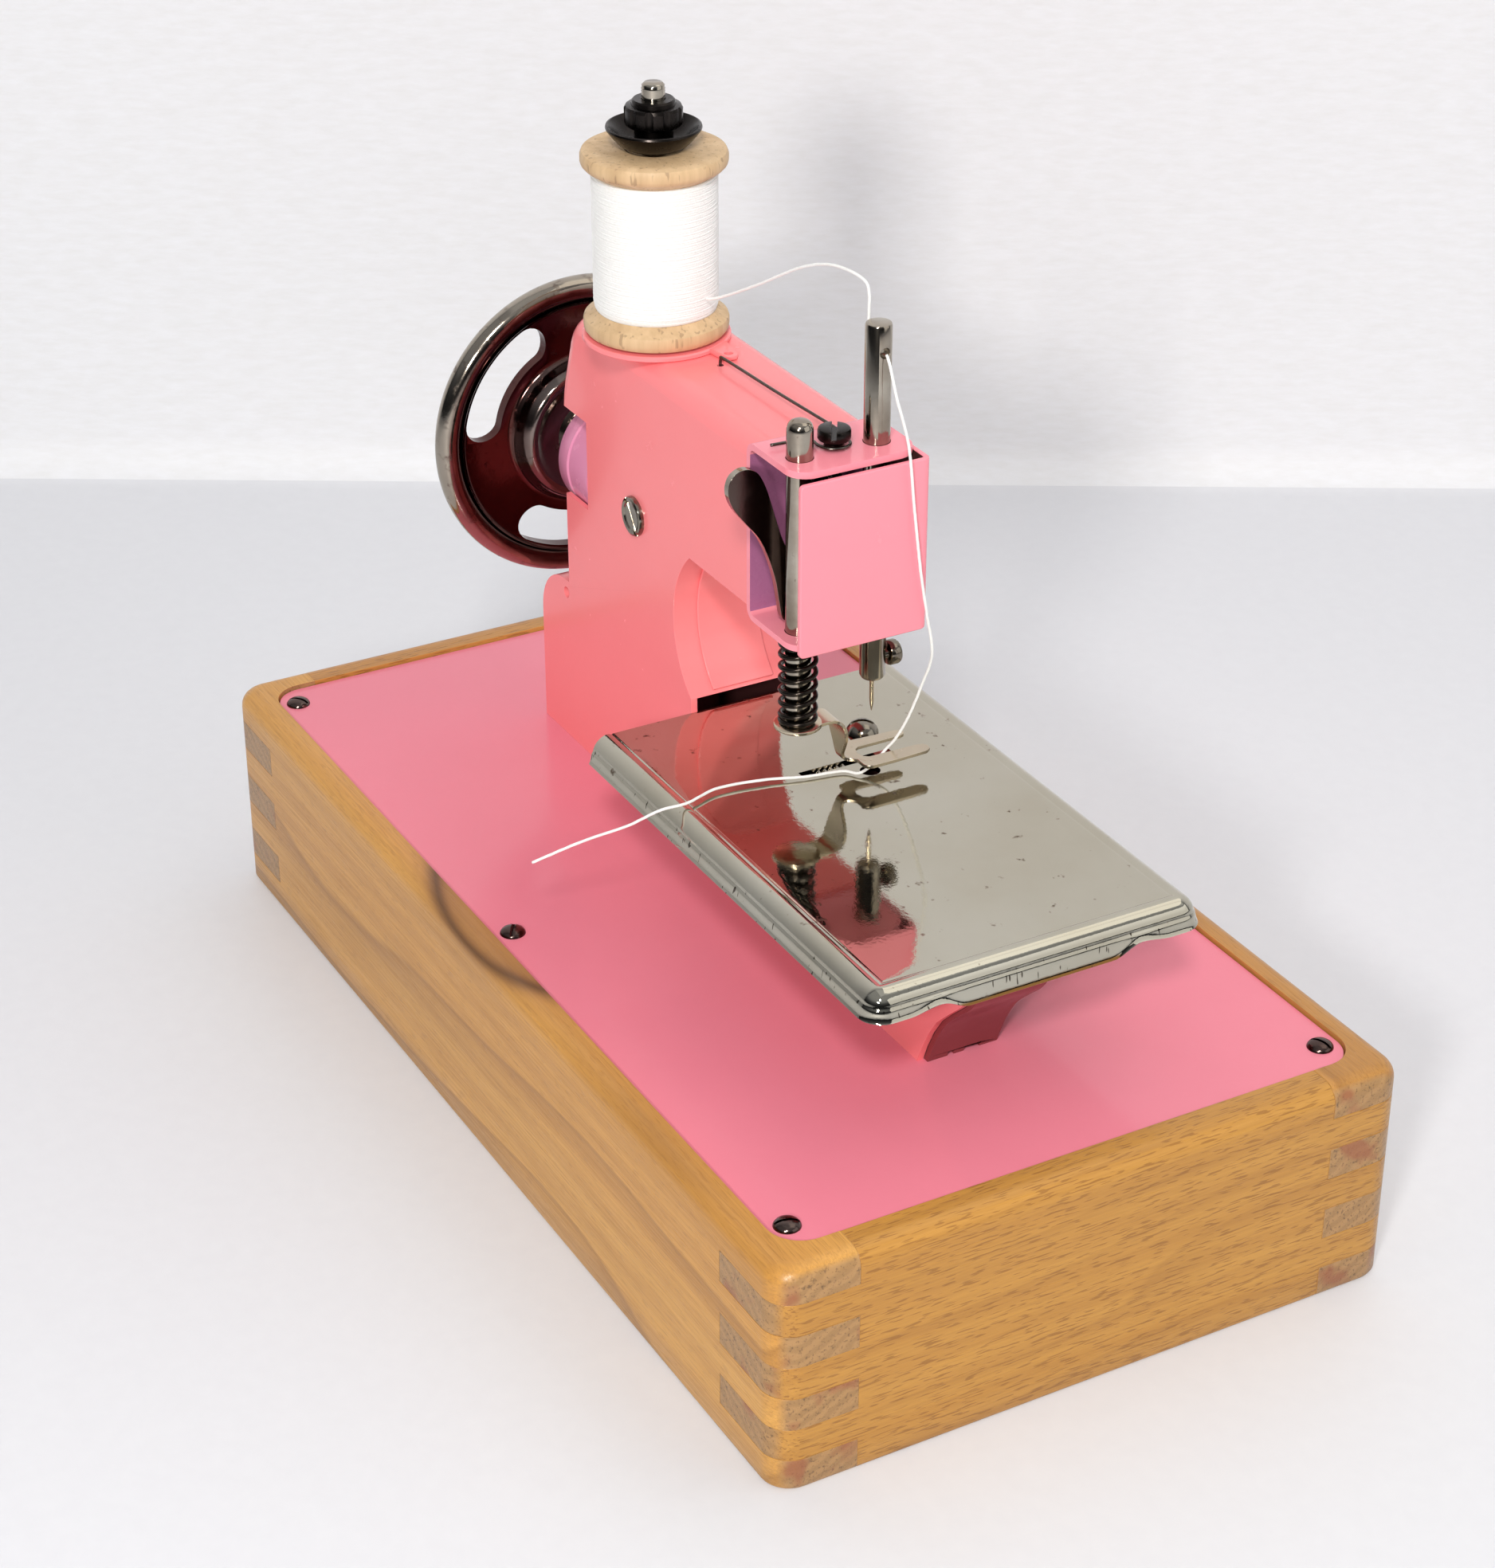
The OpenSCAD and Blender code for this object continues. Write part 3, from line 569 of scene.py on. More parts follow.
PINK = enamel("pink_body", (0.985, 0.258, 0.268), (0.955, 0.225, 0.238))
# bluer pink of the plate enamel, set darker as painted shade from the table around it
PINK2 = enamel("pink_plate", (0.79, 0.228, 0.295), (0.74, 0.200, 0.265), 0.20)
PINK3 = enamel("pink_head", (0.94, 0.290, 0.350), (0.91, 0.265, 0.325), 0.22)
# painted shade: mauve stands in for the shadow inside the head bracket
SHADE_MAUVE = enamel("mauve_inside", (0.40, 0.14, 0.27), (0.33, 0.11, 0.22), 0.26)
# pink enamel of the bearing cup, turned mauve and darker as painted shade
CUPM = enamel("pink_cup", (0.72, 0.27, 0.42), (0.62, 0.22, 0.36), 0.24)
# painted shade: darker copy of the pink enamel for parts in shadow, the brace under the table and the shaft brackets
PINK_SHADED = enamel("pink_inside", (0.66, 0.17, 0.21), (0.58, 0.14, 0.18), 0.32)
# painted shade: near-black red for hollow insides and inner faces that lie in shadow
SHADE_INSIDE = enamel("primer_inside", (0.095, 0.030, 0.030), (0.06, 0.018, 0.018), 0.45)
def table_metal():
    m = metal("table_nickel", (0.500, 0.474, 0.396), (0.09, 0.045, 0.02), 0.040, 0.8, tint=(0.450, 0.415, 0.330), spot_scale=300, big=30)
    nt = m.node_tree
    b = nt.nodes["Principled BSDF"]
    old = b.inputs["Base Color"].links[0].from_socket
    v = coords(nt)
    sp = nt.nodes.new("ShaderNodeSeparateXYZ")
    nt.links.new(v, sp.inputs[0])
    low = rng(nt, mth(nt, "ADD", sp.outputs[2], mth(nt, "MULTIPLY", mth(nt, "SUBTRACT", noise(nt, v, 300, 3), 0.5), 0.0006)), 0.0659, 0.0664, 1.0, 0.0)
    near = rng(nt, sp.outputs[0], -0.0886, -0.0878, 1.0, 0.0)
    midy = rng(nt, mth(nt, "ABSOLUTE", sp.outputs[1]), 0.015, 0.019, 1.0, 0.0)
    rust = mth(nt, "MULTIPLY", mth(nt, "MULTIPLY", low, near), midy)
    col = mix(nt, rust, old, (0.26, 0.13, 0.04))
    scr = noise(nt, coords(nt, (1, 1, 0.10)), 1500, 1, 0.4)
    under = rng(nt, sp.outputs[2], 0.0690, 0.0694, 1.0, 0.0)
    side = mth(nt, "MULTIPLY", under, rng(nt, scr, 0.69, 0.72, 0.0, 0.9))
    col = mix(nt, side, col, (0.05, 0.035, 0.025))
    nt.links.new(col, b.inputs["Base Color"])
    return m


NICKEL = table_metal()
SCREWM = metal("screw_nickel", (0.30, 0.275, 0.225), (0.05, 0.025, 0.02), 0.14, 0.6, tint=(0.19, 0.16, 0.125))
WIREM = metal("wire_dark", (0.13, 0.115, 0.10), (0.06, 0.04, 0.03), 0.25, 0.4, tint=(0.09, 0.075, 0.065))
LEGM = enamel("leg_shadow_pink", (0.22, 0.042, 0.045), (0.17, 0.03, 0.033), 0.35)
STEEL = metal("bar_steel", (0.44, 0.40, 0.335), (0.10, 0.055, 0.035), 0.11, 0.7, tint=(0.24, 0.19, 0.145), streak=(1, 1, 0.08), big=110)
BRASSY = metal("foot_steel", (0.62, 0.54, 0.40), (0.20, 0.11, 0.05), 0.20, 0.6, tint=(0.50, 0.42, 0.32))
DARKN = metal("dark_nickel", (0.115, 0.085, 0.075), (0.03, 0.015, 0.012), 0.17, 0.4, tint=(0.075, 0.045, 0.040))
# dark red tint paints a reflection of the dark surroundings; this material is replaced below
WHEELM = metal("wheel_nickel", (0.17, 0.125, 0.110), (0.045, 0.012, 0.010), 0.15, 0.6, tint=(0.105, 0.045, 0.040), spot_scale=160, big=38)
BLACK = metal("black_steel", (0.030, 0.026, 0.024), (0.09, 0.06, 0.04), 0.26, 0.35, tint=(0.022, 0.018, 0.016))
SPRINGM = metal("spring_steel", (0.045, 0.036, 0.030), (0.16, 0.11, 0.07), 0.22, 0.35, tint=(0.03, 0.025, 0.02))
SPOOLW = plainwood("spool_wood", (0.70, 0.49, 0.275), (0.50, 0.32, 0.165))
THREADM = fibre_mat("thread_white", (0.90, 0.90, 0.88), (0.74, 0.73, 0.69))
WOODX = wood("wood_long", "x", 0.0, 0.35, light=(0.71, 0.395, 0.105), mid=(0.64, 0.315, 0.070), knot=True)
WOODX2 = wood("wood_long2", "x", 0.41, 0.45)
WOODY = wood("wood_short", "y", 0.23, 1.0, light=(0.560, 0.292, 0.066), mid=(0.500, 0.240, 0.046))
WOODY2 = wood("wood_short2", "y", 0.67, 1.0)


def wheel_material():
    m, nt, b = material("wheel_nickel_worn")
    v = coords(nt)
    sp = nt.nodes.new("ShaderNodeSeparateXYZ")
    nt.links.new(v, sp.inputs[0])
    y = mth(nt, "ADD", sp.outputs[1], 0.001)
    z = mth(nt, "SUBTRACT", sp.outputs[2], 0.0994)
    r = mth(nt, "SQRT", mth(nt, "ADD", mth(nt, "MULTIPLY", y, y), mth(nt, "MULTIPLY", z, z)))
    large = noise(nt, v, 60, 4, 0.6)
    mid = noise(nt, v, 420, 4, 0.6)
    fine = noise(nt, v, 1500, 3)
    rr = mth(nt, "ADD", r, mth(nt, "MULTIPLY", mth(nt, "SUBTRACT", large, 0.5), 0.004))
    # radial bands: the lighter hub and rim are painted highlights, the dark red web is a painted reflection
    col = ramp(nt, mth(nt, "MULTIPLY", rr, 30), [(0.0, (0.20, 0.16, 0.14)), (0.36, (0.24, 0.20, 0.18)), (0.46, (0.085, 0.030, 0.026)), (0.72, (0.060, 0.018, 0.016)), (0.81, (0.09, 0.045, 0.038)), (0.855, (0.33, 0.285, 0.235)), (0.90, (0.40, 0.355, 0.295))])
    # dark spots are wear
    spot = ramp(nt, mid, [(0.0, g(0)), (0.58, g(0)), (0.70, g(1))])
    col = mix(nt, mth(nt, "MULTIPLY", spot, 0.55), col, (0.05, 0.012, 0.010))
    nt.links.new(col, b.inputs["Base Color"])
    b.inputs["Metallic"].default_value = 1.0
    nt.links.new(mth(nt, "ADD", rng(nt, large, 0.3, 0.75, 0.08, 0.20), mth(nt, "MULTIPLY", spot, 0.22)), b.inputs["Roughness"])
    bump(nt, b, mth(nt, "ADD", mth(nt, "MULTIPLY", mid, 0.6), mth(nt, "MULTIPLY", fine, 0.3)), 0.07, 0.0003)
    return m


WHEELM = wheel_material()


def mat(o, m):
    o.data.materials.clear()
    o.data.materials.append(m)
    return o


def done(o, m, body, slot, *nodes):
    mat(o, m)
    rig.ride(o, body)
    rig.slot(o, slot)
    if nodes:
        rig.replaces(o, *nodes)
    return o


# ------------------------------------------------------------------ wooden box
BL, BW, BH = 221.0, 120.0, 42.6
HL, HW, FH = BL / 2, BW / 2, BH / 7
PT = BH - 0.8


def rounded_block():
    prof = [(0.9, 0.0), (0.35, 0.25), (0.0, 0.9), (0.0, BH - 3.2)] + [(3.2 - 3.2 * cos(a), BH - 3.2 + 3.2 * sin(a)) for a in [i * pi / 14 for i in range(1, 8)]]
    rings = [[(x, y, z) for x, y in rrect(-HL + d, HL - d, -HW + d, HW - d, 5.2 - d * 0.8, 10)] for d, z in prof]
    n = len(rings[0])
    v = [p for r in rings for p in r]
    f = [[i * n + k, i * n + (k + 1) % n, (i + 1) * n + (k + 1) % n, (i + 1) * n + k] for i in range(len(rings) - 1) for k in range(n)]
    f += [list(range(n)), [(len(rings) - 1) * n + k for k in range(n)]]
    return obj("blk", v, f)


def comb(half, inner, fingers):
    """outline of one board seen square on, with its finger ends"""
    right, x1, x0 = [], half + 1, half - inner
    z = 0.0
    for i in range(7):
        x = x1 if i in fingers else x0
        right += [(x, i * FH), (x, (i + 1) * FH)]
    right = [(x, z - 1 if z == 0 else (z + 1 if abs(z - BH) < 1e-6 else z)) for x, z in right]
    return right + [(-x, z) for x, z in reversed(right)]


def recess_cut():
    return prism("rc", rrect(-HL + 6.4, HL - 6.4, -HW + 5.1, HW - 5.1, 6, 10), "z", PT - 1.05, BH + 3)


def screw_cut():
    return [cyl("sc", "z", x, y, PT - 9, BH + 3, 1.35, 24) for x in (-98.1, 0, 98.1) for y in (-51.2, 51.2)]


def board(name, kind, s):
    b = rounded_block()
    if kind == "long":
        lo, hi = sorted((s * (HW + 1), s * (HW - 14.8)))
        c = prism("c", comb(HL, 18.3, (0, 2, 4, 6)), "y", lo, hi)
    else:
        lo, hi = sorted((s * (HL + 1), s * (HL - 18.3)))
        c = prism("c", comb(HW, 14.8, (1, 3, 5)), "x", lo, hi)
    boolean(b, c, "INTERSECT")
    boolean(b, recess_cut())
    boolean(b, screw_cut())
    b.name = name
    bevel(b, 0.16, 2, 40)
    return b


for nm, kind, s, m in (("board_back", "long", 1, WOODX), ("board_front", "long", -1, WOODX2), ("board_left", "short", -1, WOODY), ("board_right", "short", 1, WOODY2)):
    done(board("v_" + nm, kind, s), m, "machine", "wood", nm)

plate = prism("v_base_plate", rrect(-HL + 6.65, HL - 6.65, -HW + 5.35, HW - 5.35, 5.8, 12), "z", PT - 1, PT)
boolean(plate, [cyl("h", "z", x, y, PT - 3, PT + 3, 1.45, 32) for x in (-98.1, 0, 98.1) for y in (-51.2, 51.2)])
bevel(plate, 0.25, 3)
done(plate, PINK2, "machine", "pink_enamel", "base_plate")

sc = []
for i, x in enumerate((-98.1, 0, 98.1)):
    for j, y in enumerate((-51.2, 51.2)):
        h = lathe("s", [(0, 1.2), (0.8, 1.14), (1.5, 0.92), (2.0, 0.58), (2.25, 0.22), (2.3, 0.0), (1.2, 0.0), (1.2, -7.6), (0, -8.0)], (x, y, PT), "z", 40)
        sl = boxo("k", -3, 3, -0.27, 0.27, PT + 0.45, PT + 3)
        a = (i * 1.3 + j * 0.9 + 0.35)
        sl.data.transform(Matrix.Translation((x * K, y * K, 0)) @ Matrix.Rotation(a, 4, "Z"))
        sc.append(boolean(h, sl))
done(bevel(join("v_plate_screws", sc), 0.07, 2), DARKN, "machine", "dark_nickel", "plate_screws")


# ------------------------------------------------------------------ pressed body
def side_outline(e):
    """side view of the pressed body, e millimetres in from its outside"""
    if e == 0:
        return ([(70.9, PT)] + arc(60.9, 65.4, 10, 0, 90, 12) + [(59, 75.4), (59, 94), (50, 94), (50, 111.5), (59, 111.5)] + arc(48.6, 122, 10, 8, 90, 12)
                + [(-14.9, 132), (-14.9, 100.9)] + arc(-1.8, 87, 18.3, 49, -50, 28) + [(9.95, 70.4), (-84, 70.4), (-84, 63), (-81.6, 59.4), (-78, 56), (-74.6, 52.6), (-72.2, 49), (-70.4, 45.4), (-69, PT)])
    return ([(69.7, 38)] + arc(60.9, 65.4, 8.8, 0, 90, 12) + [(57.8, 74.2), (57.8, 92.8), (48.8, 92.8), (48.8, 112.7), (57.8, 112.7)] + arc(48.6, 122, 8.8, 8, 90, 12)
            + [(-20, 130.8), (-20, 102.1), (10.8, 102.1)] + arc(-1.8, 87, 19.5, 47, -46, 28) + [(-95, 72.97), (-95, 38)])


def soft_prism(name, poly, y0, y1, width, keep, seg=6):
    o = prism(name, poly, "y", y0, y1, 0)
    bm = bmesh.new()
    bm.from_mesh(o.data)
    ed = []
    for e in bm.edges:
        a, b = e.verts[0].co / K, e.verts[1].co / K
        if abs(a.y - b.y) < 1e-4 and keep(a, b):
            ed.append(e)
    bmesh.ops.bevel(bm, geom=ed, offset=width * K, segments=seg, profile=0.5, affect="EDGES", clamp_overlap=False, miter_outer="SHARP", miter_inner="SHARP")
    bmesh.ops.remove_doubles(bm, verts=bm.verts, dist=1e-7)
    bm.to_mesh(o.data)
    bm.free()
    return o


def rim_edge(a, b):
    mz, mx = (a.z + b.z) / 2, (a.x + b.x) / 2
    if abs(a.x + 14.9) < 0.05 and abs(b.x + 14.9) < 0.05:
        return False
    if mx < 49.5 and mz > 131:
        return True
    if mx > 48.7 and mz > 115:
        return True
    return False


def build_body():
    o = soft_prism("v_body", side_outline(0), -12, 10, 3.6, lambda a, b: (a.z > 113 and b.z > 113 and max(a.x, b.x) > -14), 7)
    inner = soft_prism("in", side_outline(1), -10.8, 8.8, 2.6, lambda a, b: (a.z > 114 and b.z > 114 and max(a.x, b.x) > -19), 5)
    boolean(o, inner)
    cuts = [boxo("c", -96, -58, -13, -10.7, 38, 64.2), cyl("c", "x", -1, 99.4, 50, 80, 11.4, 64), cyl("c", "x", -1, 99.4, 45, 52, 3.05), cyl("c", "y", 60.2, 72.8, 8, 12, 1.1, 24),
            cyl("c", "y", 31, 100.6, -14, 12, 2.02), cyl("c", "z", 36.1, 2.4, 128, 134, 2.12), cyl("c", "z", 18.4, -0.8, 128, 134, 0.6, 24)]
    boolean(o, cuts)
    me = o.data
    at = me.attributes.new("bevel_weight_edge", "FLOAT", "EDGE")
    for e in me.edges:
        a, b = me.vertices[e.vertices[0]].co / K, me.vertices[e.vertices[1]].co / K
        if abs(a.y - b.y) < 0.02 and (abs(a.y - 10) < 0.02 or abs(a.y + 12) < 0.02):
            th = 74 < min(a.z, b.z) and max(a.z, b.z) < 101 and max(a.x, b.x) < 18.2 and min(a.x, b.x) > -15
            at.data[e.index].value = 1.0 if th else 0.28
    m = o.modifiers.new("bevel", "BEVEL")
    m.width = 1.1 * K
    m.segments = 4
    m.limit_method = "WEIGHT"
    m.harden_normals = True
    return o


body = build_body()
done(body, PINK, "machine", "pink_enamel", "body_shell")
# inward-facing faces of the hollow shell take the painted shade colour
body.data.materials.append(SHADE_INSIDE)
for p in body.data.polygons:
    c, nn = p.center / K, p.normal
    if -10.9 < c.y < 8.9 and abs(nn.y) > 0.9 and ((c.y > 0) == (nn.y < 0)):
        p.material_index = 1

# raised strip between the two creases of the throat
strip = prism("v_throat_strip", arc(-1.8, 87, 18.25, 44, -48, 40) + arc(-1.8, 87, 17.7, -48, 44, 40), "y", -7, 5.4)
bevel(strip, 0.22, 3, 40)
done(strip, PINK, "machine", "pink_enamel", "throat_strip")

cup = lathe("v_bearing_cup", [(3.05, 50.1), (11.15, 50.1), (11.2, 50.6), (11.2, 57.0), (10.9, 57.3), (10.9, 57.9), (11.2, 58.2), (11.2, 61.6), (10.7, 62.4), (9.8, 62.6), (6.2, 62.7), (6.0, 63.2), (5.8, 64.8), (5.4, 65), (3.05, 65)], (0, -1, 99.4), "x", 96, True)
done(cup, CUPM, "machine", "pink_enamel", "bearing_cup")

stud = lathe("v_stud", [(0, 10.55), (1.5, 10.55), (2.5, 10.65), (2.75, 10.9), (3.2, 11.0), (3.55, 10.85), (3.7, 10.5), (3.7, 10.02), (2.0, 10.0), (2.0, -12.0), (0, -12.0)], (31, 0, 100.6), "y", 64)
k = boxo("k", -0.4, 0.4, 10.5, 14, -5, 5)
k.data.transform(Matrix.Translation((31 * K, 0, 100.6 * K)) @ Matrix.Rotation(0.6, 4, "Y"))
boolean(stud, k)
done(bevel(stud, 0.08, 2), SCREWM, "machine", "steel", "pivot_stud")

brace = prism("v_cross_brace", [(10, 70.3), (-12, 70.3), (-12, 65.2), (-11.4, 64.5), (-10.2, 64.1), (-8, 63.9), (6, 63.7), (8.6, 63.5), (10, 63.0)], "x", -85.2, -84)
legarc = catmull([(-84, 63, 0), (-81.6, 59.4, 0), (-78, 56, 0), (-74.6, 52.6, 0), (-72.2, 49, 0), (-70.4, 45.4, 0), (-69, 41.82, 0)], 5)
leg = prism("leg", [(-84, 66)] + [(q.x, q.y) for q in legarc] + [(q.x - 1.2, q.y) for q in reversed(legarc)] + [(-85.2, 66)], "y", -5, 8.7)
boolean(brace, leg, "UNION")
boolean(brace, [boxo("c", -75, -66, 3.6, 4.8, 41, 42.7), boxo("c", -75, -66, -1.4, 1.6, 41, 42.9)])
bevel(brace, 0.2, 3, 40)
done(brace, PINK_SHADED, "machine", "pink_enamel", "cross_brace")
brace.data.materials.append(LEGM)
for p in brace.data.polygons:
    if p.center.z < 0.0634 or p.center.x > -0.0838:
        p.material_index = 1


# ------------------------------------------------------------------ table
def wave_z(y):
    a = abs(y + 0.4)
    t = min(max((a - 13.5) / 5.5, 0), 1)
    u = min(max((a - 19) / 6, 0), 1)
    return 65.4 + 1.9 * (t * t * (3 - 2 * t)) - 0.8 * (u * u * (3 - 2 * u))


def build_table():
    outer = [(7.0, 71.45), (5.1, 71.45), (4.85, 71.42), (4.65, 71.35), (4.5, 71.35), (4.35, 71.43), (4.1, 71.53), (3.75, 71.58), (3.35, 71.55), (2.95, 71.43), (2.5, 71.2), (2.05, 70.88), (1.65, 70.5), (1.32, 70.08), (1.1, 69.68),
             (0.98, 69.35), (0.92, 69.08), (0.84, 68.88), (0.68, 68.66), (0.56, 68.4), (0.48, 68.0), (0.34, 67.4), (0.12, 66.75), (0.0, 66.6), (0.1, 66.5), (0.5, 66.5), (0.85, 66.55), (1.0, 66.75), (1.3, 68.0), (1.7, 68.9), (2.3, 69.7), (4.0, 70.35), (7.0, 70.4)]
    X0, X1, Y0, Y1 = -89.6, 20.0, -32.4, 31.6

    def ring(d):
        r = max(4.2 - d, 0.12)
        x0, x1, y0, y1 = X0 + d, X1, Y0 + d, Y1 - d
        p = []
        m = 10
        p += [(x1 + (x0 + r - x1) * i / 30, y1) for i in range(30)]
        p += arc(x0 + r, y1 - r, r, 90, 180, m)
        p += [(x0, (y1 - r) + ((y0 + r) - (y1 - r)) * i / 64) for i in range(1, 64)]
        p += arc(x0 + r, y0 + r, r, 180, 270, m)
        p += [((x0 + r) + (x1 - x0 - r) * i / 30, y0) for i in range(1, 31)]
        return p
    v, rows = [], []
    for d, z in outer:
        row = []
        for x, y in ring(d):
            zz = z
            if z < 68.85 and d < 1.6 and x < -80:
                w = min(1.0, max(0.0, (-x - 86.0) / 1.5)) if abs(y) > 29 else 1.0
                dz = (wave_z(y) - 66.5) * w
                zz = z + dz * min(1.0, (68.9 - z) / 2.2)
            row.append(len(v))
            v.append((x, y, zz))
        rows.append(row)
    n = len(rows[0])
    f = []
    for a, b in zip(rows, rows[1:]):
        for k in range(n - 1):
            f.append([a[k], a[k + 1], b[k + 1], b[k]])
    f.append(rows[0])
    f.append(rows[-1])
    f.append([r[0] for r in rows])
    f.append([r[-1] for r in rows])
    # far end closed between the first and last points
    f.append([rows[0][0], rows[0][-1], rows[-1][-1], rows[-1][0]])
    o = obj("v_table", v, f, 40)
    return o


table = build_table()
boolean(table, [boxo("c", 8, 40, -50, 50, 50, 90), boxo("c", -22.1, -20.3, -13, 5.2, 60, 80), cyl("c", "z", -25.5, -6.2, 60, 80, 1.8, 32), cyl("c", "z", -12.6, -12.2, 60, 80, 1.52, 32)], sharp=40)
done(table, NICKEL, "machine", "bright_nickel", "table_plate")

ts = lathe("v_table_screw", [(0, 2.15), (0.8, 2.05), (1.5, 1.78), (2.1, 1.35), (2.5, 0.85), (2.78, 0.4), (2.9, 0.0), (1.5, 0.0), (1.5, -1.15), (0, -1.15)], (-12.6, -12.2, 71.6), "z", 64)
k = boxo("k", -4, 4, -0.4, 0.4, 72.9, 75)
k.data.transform(Matrix.Translation((-12.6 * K, -12.2 * K, 0)) @ Matrix.Rotation(1.05, 4, "Z"))
boolean(ts, k)
done(bevel(ts, 0.1, 2), SCREWM, "machine", "bright_nickel", "table_screw")

# ------------------------------------------------------------------ head
def head_plate(z0, z1):
    return prism("hp", arc(-27.7, 8.6, 3.8, 90, 180, 10) + arc(-27.5, -7.2, 4.0, 180, 270, 10) + [(-14.95, -11.2), (-14.95, 12.4)], "z", z0, z1)


def bent_back():
    r = 2.2
    zt = 133.5
    pts = [(-20, zt)] + arc(-14.95 - r, zt - r, r, 90, 0, 8) + arc(-14.95 - r, 101 + r, r, 0, -90, 8) + [(-20, 101.0), (-20, 102.1)] + arc(-14.95 - r, 101 + r, r - 1.1, -90, 0, 8) + arc(-14.95 - r, zt - r, r - 1.2, 0, 90, 8) + [(-20, zt - 1.2)]
    return prism("bb", pts, "y", -11.2, 12.4)


top = boolean(head_plate(132.3, 133.5), boxo("c", -19.9, 0, -20, 20, 100, 140))
bot = boolean(head_plate(101.0, 102.1), boxo("c", -19.9, 0, -20, 20, 100, 140))
brk = bent_back()
boolean(brk, [top, bot], "UNION")
boolean(brk, [cyl("c", "z", x, y, z, z + 3, 2.36, 40) for x, y in ((-25.5, -6.2), (-25.4, 8.3)) for z in (100, 131.4)] + [cyl("c", "z", -24.3, 1.2, 130, 134.5, 1.42), boxo("c", -18, -14, -3.2, 0.4, 103.2, 129)])
brk.name = "v_head_bracket"
bevel(brk, 0.42, 4, 40)
done(brk, PINK3, "machine", "pink_enamel", "head_bracket")
# inner back wall and underside of the top plate take the painted shade mauve
brk.data.materials.append(SHADE_MAUVE)
for p in brk.data.polygons:
    c, nn = p.center / K, p.normal
    if (nn.x < -0.8 and -17.5 < c.x < -15.2 and c.z < 131) or (nn.z < -0.9 and 131 < c.z < 133):
        p.material_index = 1

# face cover: one bent sheet with rounded free corners
fc = prism("v_face_cover", [(-33.1, 12.4)] + arc(-31.6, -10.9, 1.5, 180, 270, 8) + [(-14.95, -12.4), (-14.95, -11.35), (-31.5, -11.35)] + arc(-31.5, -10.8, 0.55, 270, 180, 6)[1:] + [(-32.05, 12.4)], "z", 100.9, 132.1)
r = 0.9
fmask = prism("m", arc(12.4 - r, 100.9 + r, r, -90, 0, 8) + arc(12.4 - r, 132.1 - r, r, 0, 90, 8) + [(-20, 132.1), (-20, 100.9)], "x", -40, 0)
boolean(fc, fmask, "INTERSECT")
bevel(fc, 0.3, 3, 40)
done(fc, PINK3, "machine", "pink_enamel", "face_cover")
# inner faces of the bent sheet take the painted shade colour
fc.data.materials.append(SHADE_INSIDE)
for p in fc.data.polygons:
    c, nn = p.center / K, p.normal
    if (nn.x > 0.9 and c.x < -31.5) or (nn.y > 0.9 and c.y < -11):
        p.material_index = 1

gs = lathe("v_guide_screw", [(0, 137.0), (2.3, 137.0), (2.65, 136.87), (2.8, 136.55), (2.8, 135.25), (2.65, 134.98), (1.8, 134.9), (1.75, 134.7), (1.75, 133.8), (1.9, 133.55), (1.4, 133.5), (1.4, 128.5), (0, 128.5)], (-24.3, 1.2, 0), "z", 56)
k = boxo("k", -4, 4, -0.45, 0.45, 135.8, 140)
k.data.transform(Matrix.Translation((-24.3 * K, 1.2 * K, 0)) @ Matrix.Rotation(-0.55, 4, "Z"))
boolean(gs, k)
done(bevel(gs, 0.1, 2), BLACK, "machine", "black_steel", "guide_screw")

WIRE = [(18.4, -0.8, 131.5), (18.2, -0.8, 133.2), (16.5, -0.9, 133.6), (0, -1.4, 133.8), (-16, -1.9, 134.2), (-20, -2, 134.2), (-23, -1.7, 134.2), (-25.8, -1, 134.2), (-26.9, 1, 134.2), (-26.1, 3.2, 134.2), (-24, 4, 134.2), (-21.8, 4, 134.2), (-20.7, 6, 134.2), (-20.2, 10.8, 134.2)]
done(sweep("v_guide_wire", catmull(WIRE, 8), 0.28, 14), WIREM, "machine", "black_steel", "guide_wire")

# ------------------------------------------------------------------ needle bar
nb = lathe("v_needle_bar", [(0, 154.3), (1.75, 154.3), (2.1, 154.2), (2.25, 153.9), (2.25, 90.5), (1.9, 89.9), (1.5, 89.8), (0.5, 89.8), (0.5, 95), (0, 95)], (-25.5, -6.2, 0), "z", 64)
boolean(nb, [cyl("c", "x", -6.2, 149.6, -30, -20, 0.95, 32), cyl("c", "y", -25.5, 93.6, -10, -6.2, 0.9, 32)])
bevel(nb, 0.22, 3, 45)
done(nb, STEEL, "needle_unit", "steel", "needle_bar")
nd = lathe("v_needle", [(0, 83.2), (0.1, 83.35), (0.3, 84.4), (0.42, 85.6), (0.42, 88.6), (0.5, 89.2), (0.5, 94.8), (0, 94.8)], (-25.5, -6.2, 0), "z", 32)
done(nd, BRASSY, "needle_unit", "steel", "needle")
co = lathe("v_collar", [(2.25, 117), (3.7, 117), (3.9, 117.2), (3.9, 121.8), (3.7, 122), (2.25, 122)], (-25.5, -6.2, 0), "z", 64, True)
pin = lathe("p", [(0, -2.6), (1.2, -2.6), (1.2, -0.1), (1.05, 0.1), (0, 0.1)], (-25.5, 0, 119.5), "y", 32)
done(join("v_bar_collar", [co, pin]), STEEL, "needle_unit", "steel", "bar_collar")
cs = lathe("v_clamp_screw", [(0, -11.3), (1.5, -11.25), (2.0, -11.0), (2.2, -10.6), (2.2, -9.3), (2.05, -9.0), (1.6, -8.9), (1.0, -8.85), (0.9, -8.6), (0.9, -6.7), (0, -6.7)], (-25.5, 0, 93.6), "y", 40)
boolean(cs, boxo("k", -25.8, -25.2, -12, -10.7, 90, 98))
